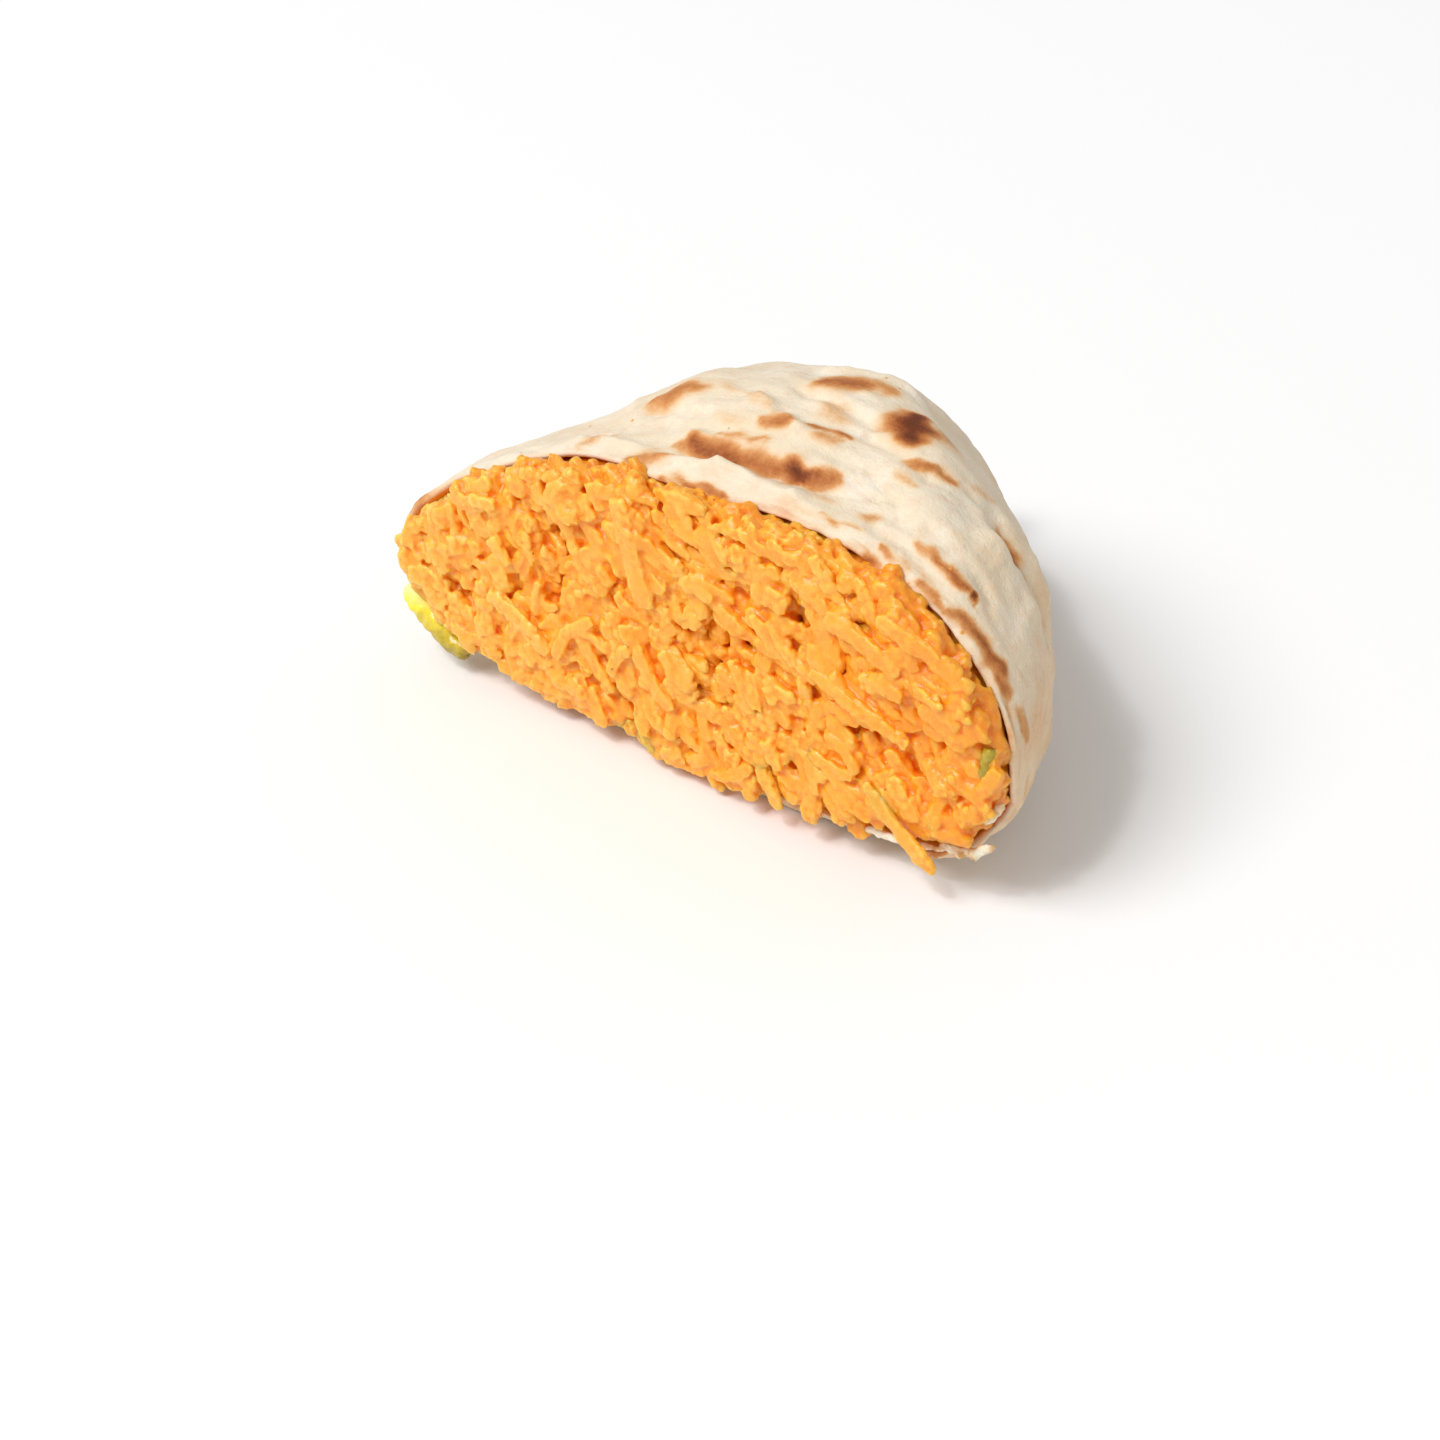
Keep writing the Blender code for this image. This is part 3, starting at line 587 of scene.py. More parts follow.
class CutFace:
    """How far forward the filling reaches, on a grid over the cut seen from the front.

    The grid is 132 mm long and 62 mm high. A cell has no number where there is no filling.
    """

    CELL = 0.5 * MM
    AHEAD_OF_CUT = 30 * MM
    FARTHEST = 36 * MM

    def __init__(self, tree):
        self.corner = np.array([-66.0, 0.0]) * MM
        self.columns, self.rows = 264, 124
        self.front = np.full((self.columns, self.rows), np.nan)
        for i in range(self.columns):
            for k in range(self.rows):
                x, z = self.corner + (np.array([i, k]) + 0.5) * self.CELL
                start = Vector((x, CUT_Y - self.AHEAD_OF_CUT, z))
                hit = tree.ray_cast(start, Vector((0, 1, 0)), self.FARTHEST)[0]
                if hit:
                    self.front[i, k] = hit.y
        self.widen(1)
        self.widen(2, -50 * MM, 18 * MM)
        self.limit = self.farthest_front()

    def widen(self, cells, least_x=-1.0, least_z=-1.0):
        """Takes in a little more at the edge past these places, so that the pile meets the wrap."""
        far_enough = self.corner[0] + np.arange(self.columns)[:, None] * self.CELL >= least_x
        high_enough = self.corner[1] + np.arange(self.rows) * self.CELL >= least_z
        for _ in range(cells):
            empty = np.isnan(self.front)
            near = np.zeros_like(empty)
            near[1:] |= ~empty[:-1]
            near[:-1] |= ~empty[1:]
            near[:, 1:] |= ~empty[:, :-1]
            near[:, :-1] |= ~empty[:, 1:]
            self.front[empty & near & far_enough & high_enough] = FACE_DEPTH

    def farthest_front(self):
        """How far forward crumbs may reach at each cell: less in the hollows."""
        i, k = np.meshgrid(np.arange(self.columns), np.arange(self.rows), indexing="ij")
        x = self.corner[0] + (i + 0.5) * self.CELL
        z = self.corner[1] + (k + 0.5) * self.CELL
        along = x * math.cos(HOLLOW_LEAN) + z * math.sin(HOLLOW_LEAN)
        across = z * math.cos(HOLLOW_LEAN) - x * math.sin(HOLLOW_LEAN)
        flat = np.stack([along / 1.7, np.zeros_like(x), across], axis=-1).reshape(-1, 3)
        limit = FACE_LIMIT + 1.3 * MM * (wave(flat, 5.5, 83.0) + 0.2).reshape(x.shape)
        for middle_x, middle_z, radius, depth in HOLLOWS:
            dx, dz = x - middle_x * MM, z - middle_z * MM
            long_way = (dx * math.cos(HOLLOW_LEAN) + dz * math.sin(HOLLOW_LEAN)) / 1.4
            short_way = dz * math.cos(HOLLOW_LEAN) - dx * math.sin(HOLLOW_LEAN)
            near = (long_way**2 + short_way**2) / (radius * MM) ** 2
            limit += depth * MM * np.exp(-near)
        return limit

    def place(self, i, k):
        """The middle of a cell, in X and Z."""
        return self.corner + (np.array([i, k]) + 0.5) * self.CELL

    def within(self, low, high):
        """The filled cells between two places along the cut."""
        filled = np.argwhere(~np.isnan(self.front))
        along = self.corner[0] + (filled[:, 0] + 0.5) * self.CELL
        return filled[(along >= low) & (along <= high)]

    def deepest_spot(self, cells, tries):
        """The place with the most room of a few drawn at random from these cells."""
        spots = [tuple(cells[rng.randrange(len(cells))]) for _ in range(tries)]
        return self.place(*max(spots, key=lambda spot: self.front[spot] - self.limit[spot]))

    def oval(self, x, z, length, width, lean):
        """The cells under an oval, and how far out each lies from its middle to its edge."""
        reach = int(max(length, width) / 2 / self.CELL) + 1
        column, row = ((np.array([x, z]) - self.corner) / self.CELL).astype(int)
        i, k = np.meshgrid(
            np.arange(max(column - reach, 0), min(column + reach + 1, self.columns)),
            np.arange(max(row - reach, 0), min(row + reach + 1, self.rows)),
        )
        dx = self.corner[0] + (i + 0.5) * self.CELL - x
        dz = self.corner[1] + (k + 0.5) * self.CELL - z
        along = (dx * math.cos(lean) + dz * math.sin(lean)) / (length / 2)
        across = (dz * math.cos(lean) - dx * math.sin(lean)) / (width / 2)
        out = np.hypot(along, across)
        return i[out <= 1], k[out <= 1], out[out <= 1]


heap = remeshed(pressed_heap(), BODY_VOXEL)
face = CutFace(BVHTree.FromBMesh(heap))
cheese_body = finished_piece("cheese_body", heap, "cheese", "grated_cheese")


def shape_mould(make, **sizes):
    """A simple shape kept to be copied, because copying is quicker than making it again."""
    mould = bmesh.new()
    make(mould, **sizes)
    return mould


def add_copy(builder, mould, moved):
    """Adds a copy of the mould, each of its corners moved by the given function."""
    copied = mould.copy()
    for vert in copied.verts:
        vert.co = moved(vert.co)
    mesh = bpy.data.meshes.new("copied")
    copied.to_mesh(mesh)
    copied.free()
    builder.from_mesh(mesh)
    bpy.data.meshes.remove(mesh)


CRUMB_MOULD = shape_mould(bmesh.ops.create_icosphere, subdivisions=2, radius=1)


def crumb(builder, centre, size, lean, tilt, nod, ragged):
    """A crumb: a rough flattened lump, its long side leaning in the plane of the cut."""
    length, width, thickness = size
    turn = (
        Matrix.Rotation(-lean, 3, "Y")
        @ Matrix.Rotation(tilt, 3, "Z")
        @ Matrix.Rotation(nod, 3, "X")
    )
    key = Vector((rng.uniform(0, 90), rng.uniform(0, 90), rng.uniform(0, 90)))

    def moved(place):
        blunt = Vector([math.copysign(abs(c) ** 0.72, c) for c in place])
        blunt *= 1 + ragged * noise.noise(place * 1.9 + key)
        sized = Vector((blunt.x * length, blunt.y * thickness, blunt.z * width))
        return centre + turn @ sized * 0.5

    add_copy(builder, CRUMB_MOULD, moved)


def straight_bar(mould, steps):
    """A round bar of eight sides along Z, one long for each step."""
    ring = bmesh.ops.create_circle(mould, cap_ends=True, segments=8, radius=1)["verts"]
    loop = list(ring[0].link_faces[0].edges)
    for _ in range(steps):
        grown = bmesh.ops.extrude_edge_only(mould, edges=loop)["geom"]
        ring = [part for part in grown if isinstance(part, bmesh.types.BMVert)]
        loop = [part for part in grown if isinstance(part, bmesh.types.BMEdge)]
        loop = [edge for edge in loop if edge.verts[0] in ring and edge.verts[1] in ring]
        bmesh.ops.translate(mould, verts=ring, vec=(0, 0, 1))
    bmesh.ops.contextual_create(mould, geom=loop)
    bmesh.ops.recalc_face_normals(mould, faces=mould.faces[:])


def shred(builder, path, width, thickness, teeth=0.16, taper=0.6):
    """A bent bar of cheese along a path, with a grater's teeth marks along its sides."""
    last = len(path) - 1

    def moved(place):
        step = round(place.z)
        ahead = (path[min(step + 1, last)] - path[max(step - 1, 0)]).normalized()
        across = ahead.cross(Vector((0, -1, 0))).normalized()
        outward = across.cross(ahead)
        swell = 1 - (1 - taper) * abs(2 * step / last - 1) ** 5
        squarer = (place.x**4 + place.y**4) ** -0.25
        notch = 1 + rng.uniform(-teeth, teeth)
        offset = across * place.x * width + outward * place.y * thickness
        return path[step] + offset * 0.5 * squarer * swell * notch

    mould = shape_mould(straight_bar, steps=last)
    add_copy(builder, mould, moved)
    mould.free()


SUNK = 0.36
THICKEST = 3.0 * MM
SHARE_OF_LUMPS = 0.14
SHORTEST_SHRED = 5 * MM


def on_bare_rim(x, z):
    """True on the strip of lower rim that stays bare, towards the torn right end."""
    return x > 12 * MM and z < 5.6 * MM + 0.13 * (x - 8 * MM)


def share_over_rim(x, z):
    """How much of a crumb may lie past the filling's edge: most at the top, least at the left."""
    share = 0.04 if x < -52 * MM else 0.1
    return share + 0.12 * min(max(z / MM - 24, 0) / 12, 1) * (x > -48 * MM)


def pile_crumb(builder, face, x, z, leftness):
    """Lays one crumb or shred on the cut face where there is room, and raises the face there.

    They are shorter, narrower and steeper towards the left end, where leftness is 1.
    """
    length = rng.triangular(2.6, 10.5 - 4.5 * leftness, 4.6) * MM
    width = rng.triangular(2.0, 4.4 - 1.0 * leftness, 2.9) * MM
    if rng.random() < SHARE_OF_LUMPS:
        width = min(width * 1.7, length)
    thickness = min(width * rng.uniform(0.6, 0.95), THICKEST)
    lean = math.radians(rng.gauss(-36 - 12 * leftness, 34 + 18 * leftness))
    i, k, out = face.oval(x, z, length, width, lean)
    under = face.front[i, k]
    if on_bare_rim(x, z) or len(under) == 0 or np.isnan(under).mean() > share_over_rim(x, z):
        return
    centre_y = np.nanmean(under) - thickness * (0.5 - SUNK)
    if centre_y - thickness / 2 < face.limit[i, k].mean():
        return
    centre = Vector((x, centre_y, z))
    tilt, nod = math.radians(rng.gauss(0, 14)), math.radians(rng.gauss(0, 14))
    if length > SHORTEST_SHRED and rng.random() < 0.7 - 0.4 * leftness:
        along = Vector((math.cos(lean), math.tan(tilt) * 0.6, math.sin(lean))) * length * 0.6
        bend = Vector((-math.sin(lean), 0, math.cos(lean))) * rng.uniform(-0.7, 0.7) * MM
        path = [centre + along * s + bend * (1 - s * s) for s in (-1, -0.6, -0.2, 0.2, 0.6, 1)]
        shred(builder, path, width * 0.8, thickness, 0.2, 0.6)
    else:
        crumb(builder, centre, (length, width, thickness), lean, tilt, nod, 0.42)
    face.front[i, k] = np.fmin(under, centre_y - thickness / 2 * np.sqrt(1 - out**2 * 0.8))


# Four stretches of the cut, so that no piece of the scene has too many faces.
STRETCHES = {
    "cheese_cut_left": (-70, -27),
    "cheese_cut_middle_left": (-27.6, 4),
    "cheese_cut_middle_right": (3.4, 33),
    "cheese_cut_right": (32.4, 70),
}
ROOM_LEFT = 1.5 * MM
MOST_DRAWN = 3000
SPOTS_TRIED = 4


def stretch_of_face(low, high):
    """A slice of the pressed heap's front, closed all round, for crumbs to be fused to."""
    part = pressed_heap()
    cuts = (
        ((low * MM, 0, 0), (-1, 0, 0)),
        ((high * MM, 0, 0), (1, 0, 0)),
        ((0, FACE_DEPTH + 1.5 * MM, 0), (0, 1, 0)),
    )
    for place, away in cuts:
        geometry = part.verts[:] + part.edges[:] + part.faces[:]
        bmesh.ops.bisect_plane(part, geom=geometry, plane_co=place, plane_no=away, clear_outer=True)
        rim = [edge for edge in part.edges if edge.is_boundary]
        bmesh.ops.holes_fill(part, edges=rim)
    return part


def beads(points, size):
    """Rounded knobs side by side, 1 at a knob's top and 0 where it meets the next."""
    nearest = np.array([noise.voronoi(p)[0][0] for p in (points / (size * MM)).tolist()])
    return np.sqrt(np.clip(1 - (nearest / 0.8) ** 2, 0, 1))


def knife_plane(points):
    """Where the knife went through, a little uneven as the filling gave way."""
    return CUT_Y - 1.3 * MM + 0.9 * MM * wave(points * np.array([1, 0, 1]), 13, 44.0)


def smoothed(builder, places, rounds):
    """Each corner's place replaced by its neighbours' average, this many times over."""
    ends = np.array([[vert.index for vert in edge.verts] for edge in builder.edges])
    count = np.bincount(ends.ravel(), minlength=len(places))[:, None]
    for _ in range(rounds):
        total = np.zeros_like(places)
        for axis in range(3):
            total[:, axis] += np.bincount(ends[:, 0], places[ends[:, 1], axis], len(places))
            total[:, axis] += np.bincount(ends[:, 1], places[ends[:, 0], axis], len(places))
        places = total / count
    return places


BEAD_SIZE = 1.35
SHEARED = 0.3
SOFTENED = 0.3


def fused_crumbs(part):
    """Fuses the piled crumbs, beads their sides, and shears their fronts as the knife did.

    It also gives each corner's tone: painted highlight where it stands out, painted shade deep
    down.
    """
    fused = remeshed(part, CRUMB_VOXEL)
    fused.verts.index_update()
    places, normals = places_and_normals(fused)
    sideways = np.clip(1.35 - 1.1 * np.abs(normals[:, 1]), 0, 1)
    crumbly = np.clip(0.35 + 1.6 * wave(places, 5.5, 14.0), 0, 1)
    knobs = beads(places, BEAD_SIZE) * (0.14 + 0.18 * sideways + 0.68 * crumbly)
    places += normals * ((0.70 * knobs - 0.21) * MM)[:, None]
    places += normals * (0.24 * wave(places, 1.7, 31.0) * MM)[:, None]
    plane = knife_plane(places)
    places[:, 1] += SHEARED * np.maximum(plane - places[:, 1], 0)
    places = (1 - SOFTENED) * places + SOFTENED * smoothed(fused, places, 1)
    # Painted light: what stands out is painted paler as a highlight, and what lies deep behind the
    # knife's plane is painted darker as shade.
    proud = ((places - smoothed(fused, places, 7)) * normals).sum(axis=1) / (0.16 * MM)
    depth = (places[:, 1] - plane) / (4.2 * MM)
    tint = 0.40 - 0.30 * np.clip(depth, -0.4, 1) + 0.17 * np.clip(proud, -1.0, 2.0)
    left_end = np.clip((-20 - places[:, 0] / MM) / 25, 0, 1)
    right_end = np.clip((places[:, 0] / MM - 15) / 35, 0, 1)
    tint += 0.14 * wave(places, 5, 3.0) + 0.12 * left_end
    tint -= 0.14 * right_end
    move_to(fused, places)
    return fused, tint


# Cheese tones read along the stored tone: the deepest is painted shade for the hollows, the palest
# painted highlight for edges that stand out.
CHEESE_DEEP = (0.98, 0.31, 0.010)
CHEESE = (0.97, 0.385, 0.020)
CHEESE_PALE = (0.97, 0.565, 0.105)
CHEESE_PIT = (0.30, 0.09, 0.008)
BODY_TINT = 0.05
SEAM_WIDTH = 4 * MM


def orange_cheddar():
    """Moist orange cheddar that lets light through; its stored tone carries painted highlight and
    painted shade.
    """
    made, nodes, links, shader = new_material("orange_cheddar")
    patches = noise_texture(nodes, links, 3.5, 3.0, 0.5)
    grains = noise_texture(nodes, links, 0.75, 3.0, 0.6)
    uneven = arithmetic(nodes, links, "MULTIPLY_ADD", patches, 0.3, -0.15)
    pale = arithmetic(nodes, links, "ADD", stored(nodes, "tint"), uneven)
    colour = ramp(nodes, links, pale, [(0.0, CHEESE_DEEP), (0.42, CHEESE), (0.95, CHEESE_PALE)])
    # Dark dots: painted shade standing for tiny pits in the cheese.
    pits = specks(nodes, links, 6.0, 0.22, 0.80)
    colour = blend(nodes, links, pits, colour, CHEESE_PIT)
    links.new(colour, shader.inputs["Base Color"])
    links.new(between(nodes, links, grains, 0.3, 0.7, 0.22, 0.42), shader.inputs["Roughness"])
    shader.inputs["Specular IOR Level"].default_value = 0.6
    soft_inside(shader, 1.0, (1.0, 0.62, 0.28), 2.8)
    links.new(stored(nodes, "unbroken"), shader.inputs["Subsurface Weight"])
    bumpy(nodes, links, shader, [(grains, 0.22)])
    return made


cheddar = orange_cheddar()


def dress_cheese(piece, tint):
    """Gives a piece of cheese its finish, and less inner light where another piece runs into it."""
    along = np.array([vert.co.x for vert in piece.data.vertices])
    seams = [high * MM for low, high in STRETCHES.values()][:-1]
    away = np.min([np.abs(along - seam) for seam in seams], axis=0)
    dress(piece, cheddar, tint=tint, unbroken=np.clip((away - 1 * MM) / SEAM_WIDTH, 0, 1))


# The body shows only deep in the hollows, so it takes the deep tone that is painted there as shade.
dress_cheese(cheese_body, np.full(len(cheese_body.data.vertices), BODY_TINT))

stretches = {name: stretch_of_face(*limits) for name, limits in STRETCHES.items()}


def stretch_at(x):
    """The name of the stretch that a place along the cut belongs to."""
    return next(name for name, (low, high) in STRETCHES.items() if x <= high * MM)


for name, part in stretches.items():
    low, high = STRETCHES[name]
    cells = face.within(low * MM, high * MM)
    drawn = 0
    room = face.front - face.limit
    while room[cells[:, 0], cells[:, 1]].mean() > ROOM_LEFT and drawn < MOST_DRAWN:
        drawn += 1
        x, z = face.deepest_spot(cells, SPOTS_TRIED)
        leftness = min(max((-x / MM - 8) / 30, 0), 1)
        pile_crumb(part, face, x, z, leftness)
        room = face.front - face.limit

# The long shreds that lie on top, seen from the front: their points, width, thickness. Millimetres.
LONG_SHREDS = [
    ([(29, 36), (38, 33), (48, 29.5)], 3.0, 2.4),
    ([(50, 37.5), (55, 36), (59, 33.5)], 3.7, 2.2),
    ([(32, 48), (39, 46), (46, 42.5)], 3.8, 2.4),
    ([(42, 51.5), (51, 49), (59, 44.5)], 3.8, 2.4),
    ([(27, 36), (27, 31), (28, 27)], 1.8, 1.8),
    ([(39, 38), (43, 39.5), (47, 38.5)], 3.2, 2.6),
    ([(20, 18), (21.5, 15.5), (23, 13)], 2.6, 2.4),
    ([(45, 21), (48, 18), (50, 15)], 3.6, 2.6),
    ([(54, 15), (57, 15), (60, 14)], 2.2, 2.0),
    ([(-11, 53), (-8, 44), (-5, 34)], 4.4, 2.6),
    ([(-25, 15), (-23, 21), (-17, 26)], 2.6, 2.6),
    ([(-21, 23), (-18, 18), (-14, 12)], 2.6, 2.2),
    ([(-8, 26), (-5, 20), (0, 15)], 3.2, 2.4),
    ([(-13, 17), (-12, 20), (-9, 24)], 2.3, 2.2),
    ([(-2, 26), (0, 24), (1, 21)], 2.3, 2.0),
    ([(-40, 22), (-33, 20), (-27, 15)], 3.4, 2.6),
    ([(-54, 27), (-53, 25), (-50, 22)], 2.6, 2.2),
    ([(-39, 34), (-38, 33), (-35, 30)], 2.6, 2.2),
    ([(-27, 45), (-24, 43), (-22, 40)], 2.6, 2.2),
    ([(-43, 40), (-41, 40.5), (-38, 41)], 2.4, 2.2),
]


def laid_path(face, points, thickness, sink, rings=9):
    """A route over the heap through points seen from the front, resting on what lies under it."""
    share = np.linspace(0, len(points) - 1, rings)
    xs = np.interp(share, range(len(points)), [x * MM for x, z in points])
    zs = np.interp(share, range(len(points)), [z * MM for x, z in points])
    i = np.clip(((xs - face.corner[0]) / face.CELL).astype(int), 0, face.columns - 1)
    k = np.clip(((zs - face.corner[1]) / face.CELL).astype(int), 0, face.rows - 1)
    rest = face.front[i, k]
    known = ~np.isnan(rest)
    steps = np.arange(rings)
    line = np.polyfit(steps[known], rest[known], 1)
    level = np.maximum(np.polyval(line, steps), CUT_Y - 2.2 * MM)
    return [Vector((x, y - thickness * (0.5 - sink), z)) for x, y, z in zip(xs, level, zs)]


for points, width, thickness in LONG_SHREDS:
    path = laid_path(face, points, thickness * MM, 0.1)
    shred(stretches[stretch_at(path[4].x)], path, width * MM, thickness * MM, 0.14, 0.7)

for name, part in stretches.items():
    fused, tint = fused_crumbs(part)
    dress_cheese(finished_piece(name, fused, "cheese"), tint)

# Shreds that the knife has dragged out over the lower rim: their points, width, thickness.
OVERHANGING = [
    ([(40, -48.4, 18), (45, -49.4, 14.2), (50, -49.8, 10.6), (55, -49.4, 7.2)], 2.9, 2.2),
    ([(17, -47, 13), (20, -48, 9), (22.5, -48, 4.6)], 2.6, 2.0),
    ([(-9, -47, 10), (-6.5, -47.4, 6), (-4.5, -47, 3)], 1.8, 1.6),
]


def path_through(points, shares):
    """A route through points given in millimetres, with a step at each of these shares of a run."""
    ends = [Vector(point) * MM for point in points]
    return [a.lerp(b, share) for a, b in zip(ends, ends[1:]) for share in shares] + ends[-1:]


dragged = bmesh.new()
for points, width, thickness in OVERHANGING:
    shred(dragged, path_through(points, (0, 0.35, 0.7)), width * MM, thickness * MM, 0.16, 0.7)
fused, tint = fused_crumbs(dragged)
dress_cheese(finished_piece("cheese_dragged_shreds", fused, "cheese"), tint + 0.10)

# Crumbs of cheese that have come to rest on the lower rim. Places in millimetres, then length.
RIM_CRUMBS = [
    ((-37, -45, 9.5), 3.2), ((-34, -45.4, 9), 3.6), ((-31.5, -45, 9.8), 2.8),
    ((-29, -45, 8.6), 3.4), ((-47, -44.8, 9.4), 3.4), ((-45, -45, 8.6), 4.2),
    ((-43, -45, 7.4), 3.4), ((-40, -45, 6.9), 3.0), ((-26, -45.2, 8.2), 4.4),
    ((-23.5, -45.4, 7), 4.8), ((-21, -45.2, 5.8), 3.4), ((-18, -45, 6), 3.8),
    ((-14, -45, 5.2), 3.2), ((-11, -45.2, 4.8), 4.0), ((-8, -45.2, 4.4), 3.0),
    ((-3, -45, 3.8), 3.6), ((2, -45, 4.4), 3.4), ((7, -45, 4.2), 4.2),
    ((12, -45.4, 4.0), 3.6), ((16, -45, 4.8), 3.0),
]
rim_crumbs = bmesh.new()
for place, length in RIM_CRUMBS:
    size = (length * MM, length * rng.uniform(0.6, 0.85) * MM, length * rng.uniform(0.5, 0.7) * MM)
    lean, tilt = rng.uniform(-1.4, 0.4), rng.uniform(-0.4, 0.4)
    crumb(rim_crumbs, Vector(place) * MM, size, lean, tilt, nod=0.2, ragged=0.5)
fused, tint = fused_crumbs(rim_crumbs)
dress_cheese(finished_piece("cheese_rim_crumbs", fused, "cheese"), tint)

# Pickled yellow pepper. Two thin scraps of it have been pushed out at the ends of the cut.
# They are wet and let light through, and the flesh turns olive where the brine has soaked it.
BRINE_SOAKED = (0.34, 0.25, 0.02)
OLIVE_FLESH = (0.66, 0.50, 0.025)
YELLOW_FLESH = (0.93, 0.78, 0.045)
PALE_FLESH = (0.97, 0.90, 0.34)


def pickled_pepper():
    """Glossy yellow flesh that turns olive towards its lower end, by the stored ripeness."""
    made, nodes, links, shader = new_material("pickled_pepper")
    patches = noise_texture(nodes, links, 1.6, 3.0, 0.6)
    uneven = arithmetic(nodes, links, "MULTIPLY_ADD", patches, 0.5, -0.25)
    ripe = arithmetic(nodes, links, "ADD", stored(nodes, "ripe"), uneven)
    colour = ramp(nodes, links, ripe, [
        (0.05, BRINE_SOAKED),
        (0.45, OLIVE_FLESH),
        (0.75, YELLOW_FLESH),
        (1.0, PALE_FLESH),
    ])
    links.new(colour, shader.inputs["Base Color"])
    shader.inputs["Roughness"].default_value = 0.24
    shader.inputs["Specular IOR Level"].default_value = 0.55
    soft_inside(shader, 0.4, (1.0, 1.0, 0.6), 1.0)
    bumpy(nodes, links, shader, [(patches, 0.15)])
    return made


pepper_flesh = pickled_pepper()


def pepper_scrap(node, swollen, ripe_top, ripe_foot):
    """A packed scrap, rounded, and swollen unevenly by about this many millimetres."""
    scrap = after_modifier(merged_copy(node), "SUBSURF", levels=2, render_levels=2)
    low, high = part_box(node)
    places, normals = places_and_normals(scrap)
    swell = swollen + 0.6 * wave(places, 2.6, 12.0) + 0.4 * wave(places, 1.1, 19.0)
    places += normals * (swell * MM)[:, None]
    places[:, 2] = np.maximum(places[:, 2], 0.2 * MM)
    move_to(scrap, places)
    ripe = ripe_foot + (ripe_top - ripe_foot) * (places[:, 2] - low.z) / (high.z - low.z)
    dress(finished_piece(node + "_flesh", scrap, "pepper", node), pepper_flesh, ripe=ripe)


pepper_scrap("pepper_scrap_left", 1.1, 1.0, 0.05)
pepper_scrap("pepper_scrap_right", 0.5, 0.20, 0.0)

# Torn crumb of the flatbread. At the right end of the cut the sheet has ripped open, and its soft
# white inside shows in ragged lips. Each lip has its points, width and thickness, in millimetres.
LIP_VOXEL = 0.33
BROWNED_CRUMB = (0.62, 0.34, 0.13)
CREAM_CRUMB = (0.84, 0.68, 0.44)
WHITE_CRUMB = (0.93, 0.86, 0.70)
TORN_LIPS = [
    ([(53, -44.4, 9.8), (56, -45, 10.2), (60, -45, 11.4), (63.4, -44.2, 14)], 1.9, 1.3),
    ([(60.6, -44.6, 18), (63, -45, 20.4), (64.6, -44.4, 23.4)], 1.7, 1.2),
    ([(28, -45, 5.2), (38, -45.2, 6.4), (46, -45.2, 7.6), (54, -45, 9.2)], 1.3, 1.1),
]


def torn_crumb():
    """Soft white inside of the bread, dry and pitted, browned in patches."""
    made, nodes, links, shader = new_material("torn_crumb")
    pits = noise_texture(nodes, links, 0.7, 4.0, 0.65)
    patches = noise_texture(nodes, links, 3.0, 3.0, 0.6)
    colour = ramp(nodes, links, patches, [
        (0.34, BROWNED_CRUMB),
        (0.46, CREAM_CRUMB),
        (0.62, WHITE_CRUMB),
    ])
    links.new(colour, shader.inputs["Base Color"])
    shader.inputs["Roughness"].default_value = 0.7
    shader.inputs["Specular IOR Level"].default_value = 0.3
    soft_inside(shader, 0.4, (1.0, 0.7, 0.45), 1.2)
    bumpy(nodes, links, shader, [(pits, 0.3)])
    return made


lips = bmesh.new()
for points, width, thickness in TORN_LIPS:
    path = path_through(points, (0, 0.25, 0.5, 0.75))
    shred(lips, path, width * MM, thickness * MM, 0.34, 0.35)
lips = remeshed(lips, LIP_VOXEL)
places, normals = places_and_normals(lips)
uneven = 0.32 * wave(places, 1.6, 61.0) + 0.22 * wave(places, 0.8, 66.0)
move_to(lips, places + normals * (uneven * MM)[:, None])
dress(finished_piece("torn_crumb_lips", lips, "bread"), torn_crumb())

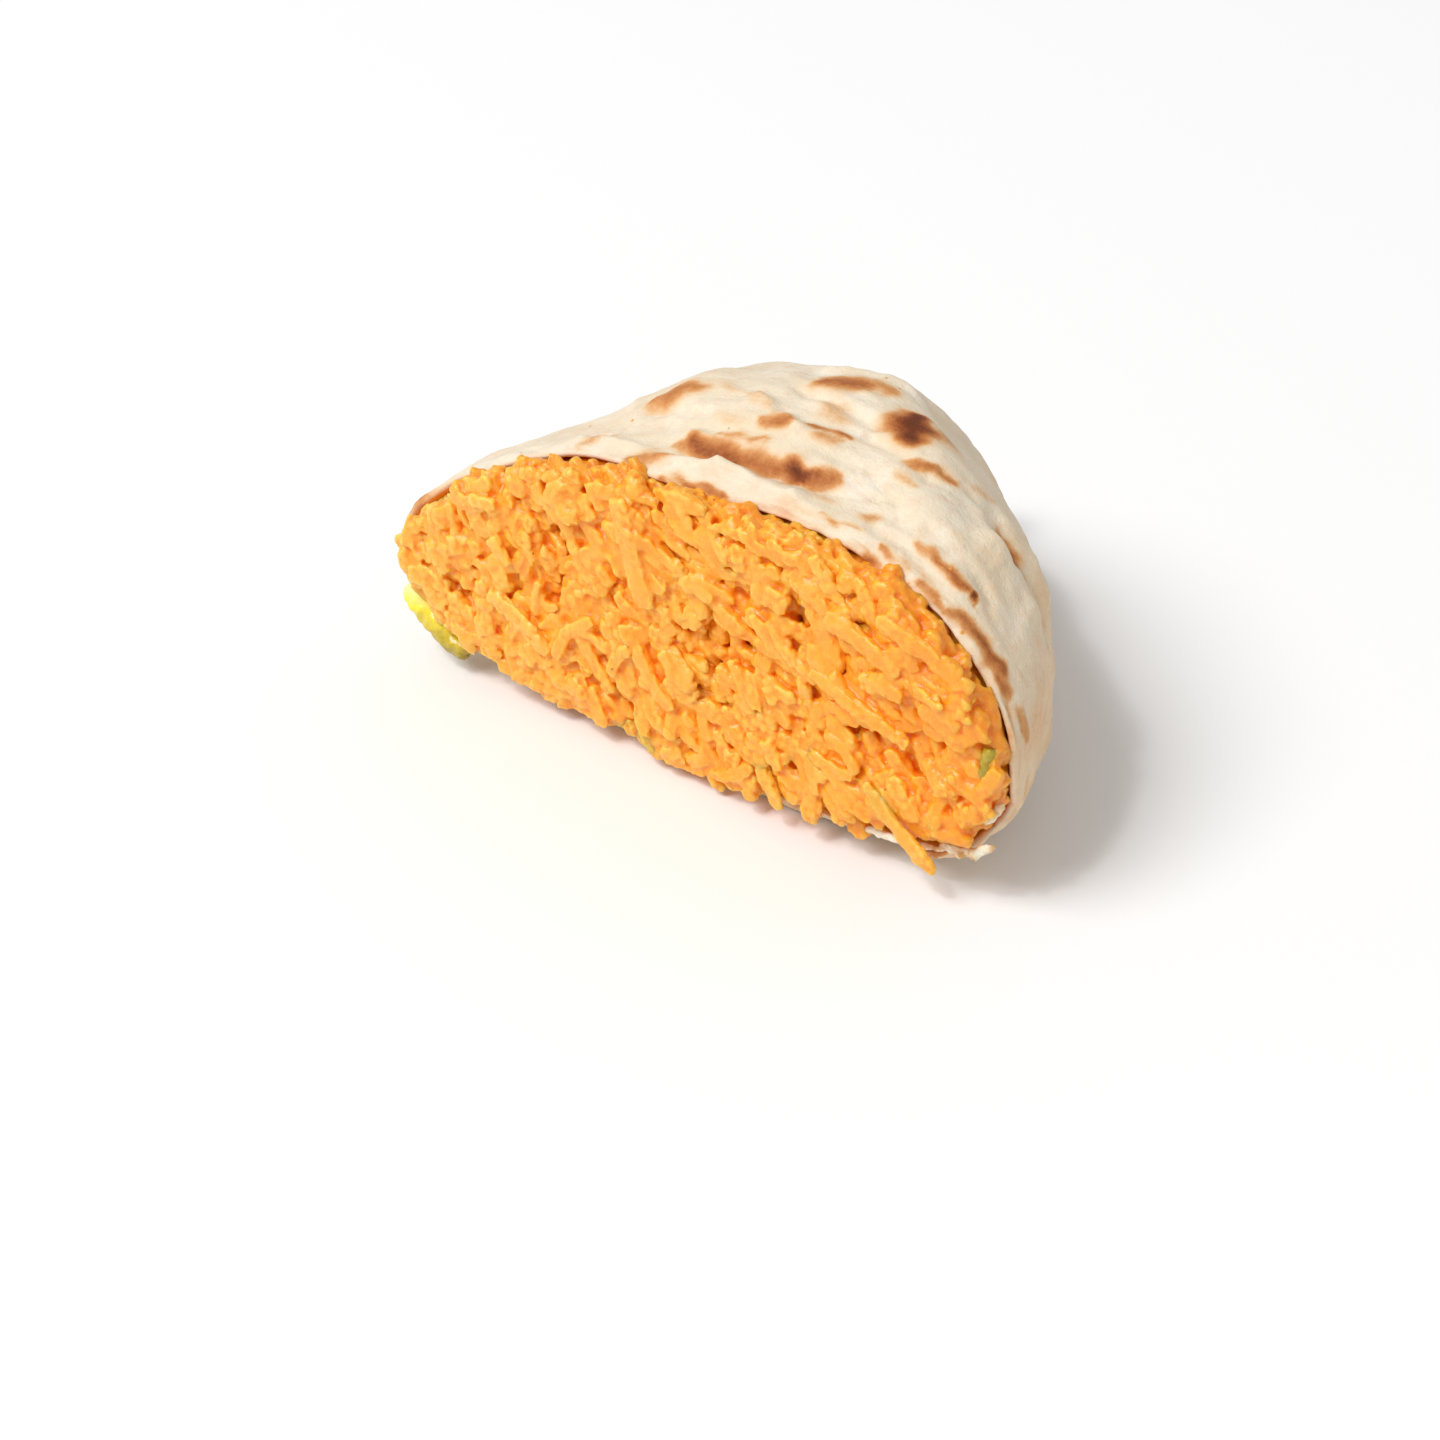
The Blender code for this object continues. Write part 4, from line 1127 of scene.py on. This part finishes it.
# The studio. A white paper floor under an even white surround, one large soft lamp from the upper
# left, a small one for the highlights, and the camera at the photograph's angle. Metres and watts.
FLOOR_SIZE = 6
PAPER_WHITE = (0.93, 0.93, 0.93, 1)
SURROUND_STRENGTH = 0.50
LAMP_DISTANCE = 4
LAMPS = {
    "key": (Vector((-0.25, -0.55, 0.80)), 2.2, 104),
    "sparkle": (Vector((-0.10, -0.50, 0.86)), 0.3, 18),
}
CAMERA_AZIMUTH = math.radians(38)
CAMERA_ELEVATION = math.radians(36)
CAMERA_DISTANCE = 0.65
FOCAL_LENGTH = 95
SENSOR_WIDTH = 36
AIM = Vector((1.19, -36.46, 6.85)) * MM

floor = bmesh.new()
bmesh.ops.create_grid(floor, x_segments=1, y_segments=1, size=FLOOR_SIZE)
floor_mesh = bpy.data.meshes.new("floor")
floor.to_mesh(floor_mesh)
floor.free()
ground = bpy.data.objects.new("floor", floor_mesh)
bpy.context.scene.collection.objects.link(ground)
paper, nodes, links, shader = new_material("white_paper")
shader.inputs["Base Color"].default_value = PAPER_WHITE
shader.inputs["Roughness"].default_value = 0.9
shader.inputs["Specular IOR Level"].default_value = 0.1
ground.data.materials.append(paper)

world = bpy.data.worlds.new("studio")
bpy.context.scene.world = world
world.use_nodes = True
surround = world.node_tree.nodes["Background"]
surround.inputs["Color"].default_value = (1, 1, 1, 1)
surround.inputs["Strength"].default_value = SURROUND_STRENGTH

for name, (direction, width, power) in LAMPS.items():
    light = bpy.data.lights.new(name, "AREA")
    light.shape = "DISK"
    light.size = width
    light.energy = power
    lamp = bpy.data.objects.new(name, light)
    bpy.context.scene.collection.objects.link(lamp)
    lamp.location = direction.normalized() * LAMP_DISTANCE
    lamp.rotation_euler = direction.to_track_quat("Z", "Y").to_euler()

back = Vector((
    math.sin(CAMERA_AZIMUTH) * math.cos(CAMERA_ELEVATION),
    -math.cos(CAMERA_AZIMUTH) * math.cos(CAMERA_ELEVATION),
    math.sin(CAMERA_ELEVATION),
))
lens = bpy.data.cameras.new("camera")
lens.lens = FOCAL_LENGTH
lens.sensor_width = SENSOR_WIDTH
camera = bpy.data.objects.new("camera", lens)
bpy.context.scene.collection.objects.link(camera)
camera.location = AIM + back * CAMERA_DISTANCE
camera.rotation_euler = back.to_track_quat("Z", "Y").to_euler()
bpy.context.scene.camera = camera
bpy.context.scene.view_settings.view_transform = "Standard"
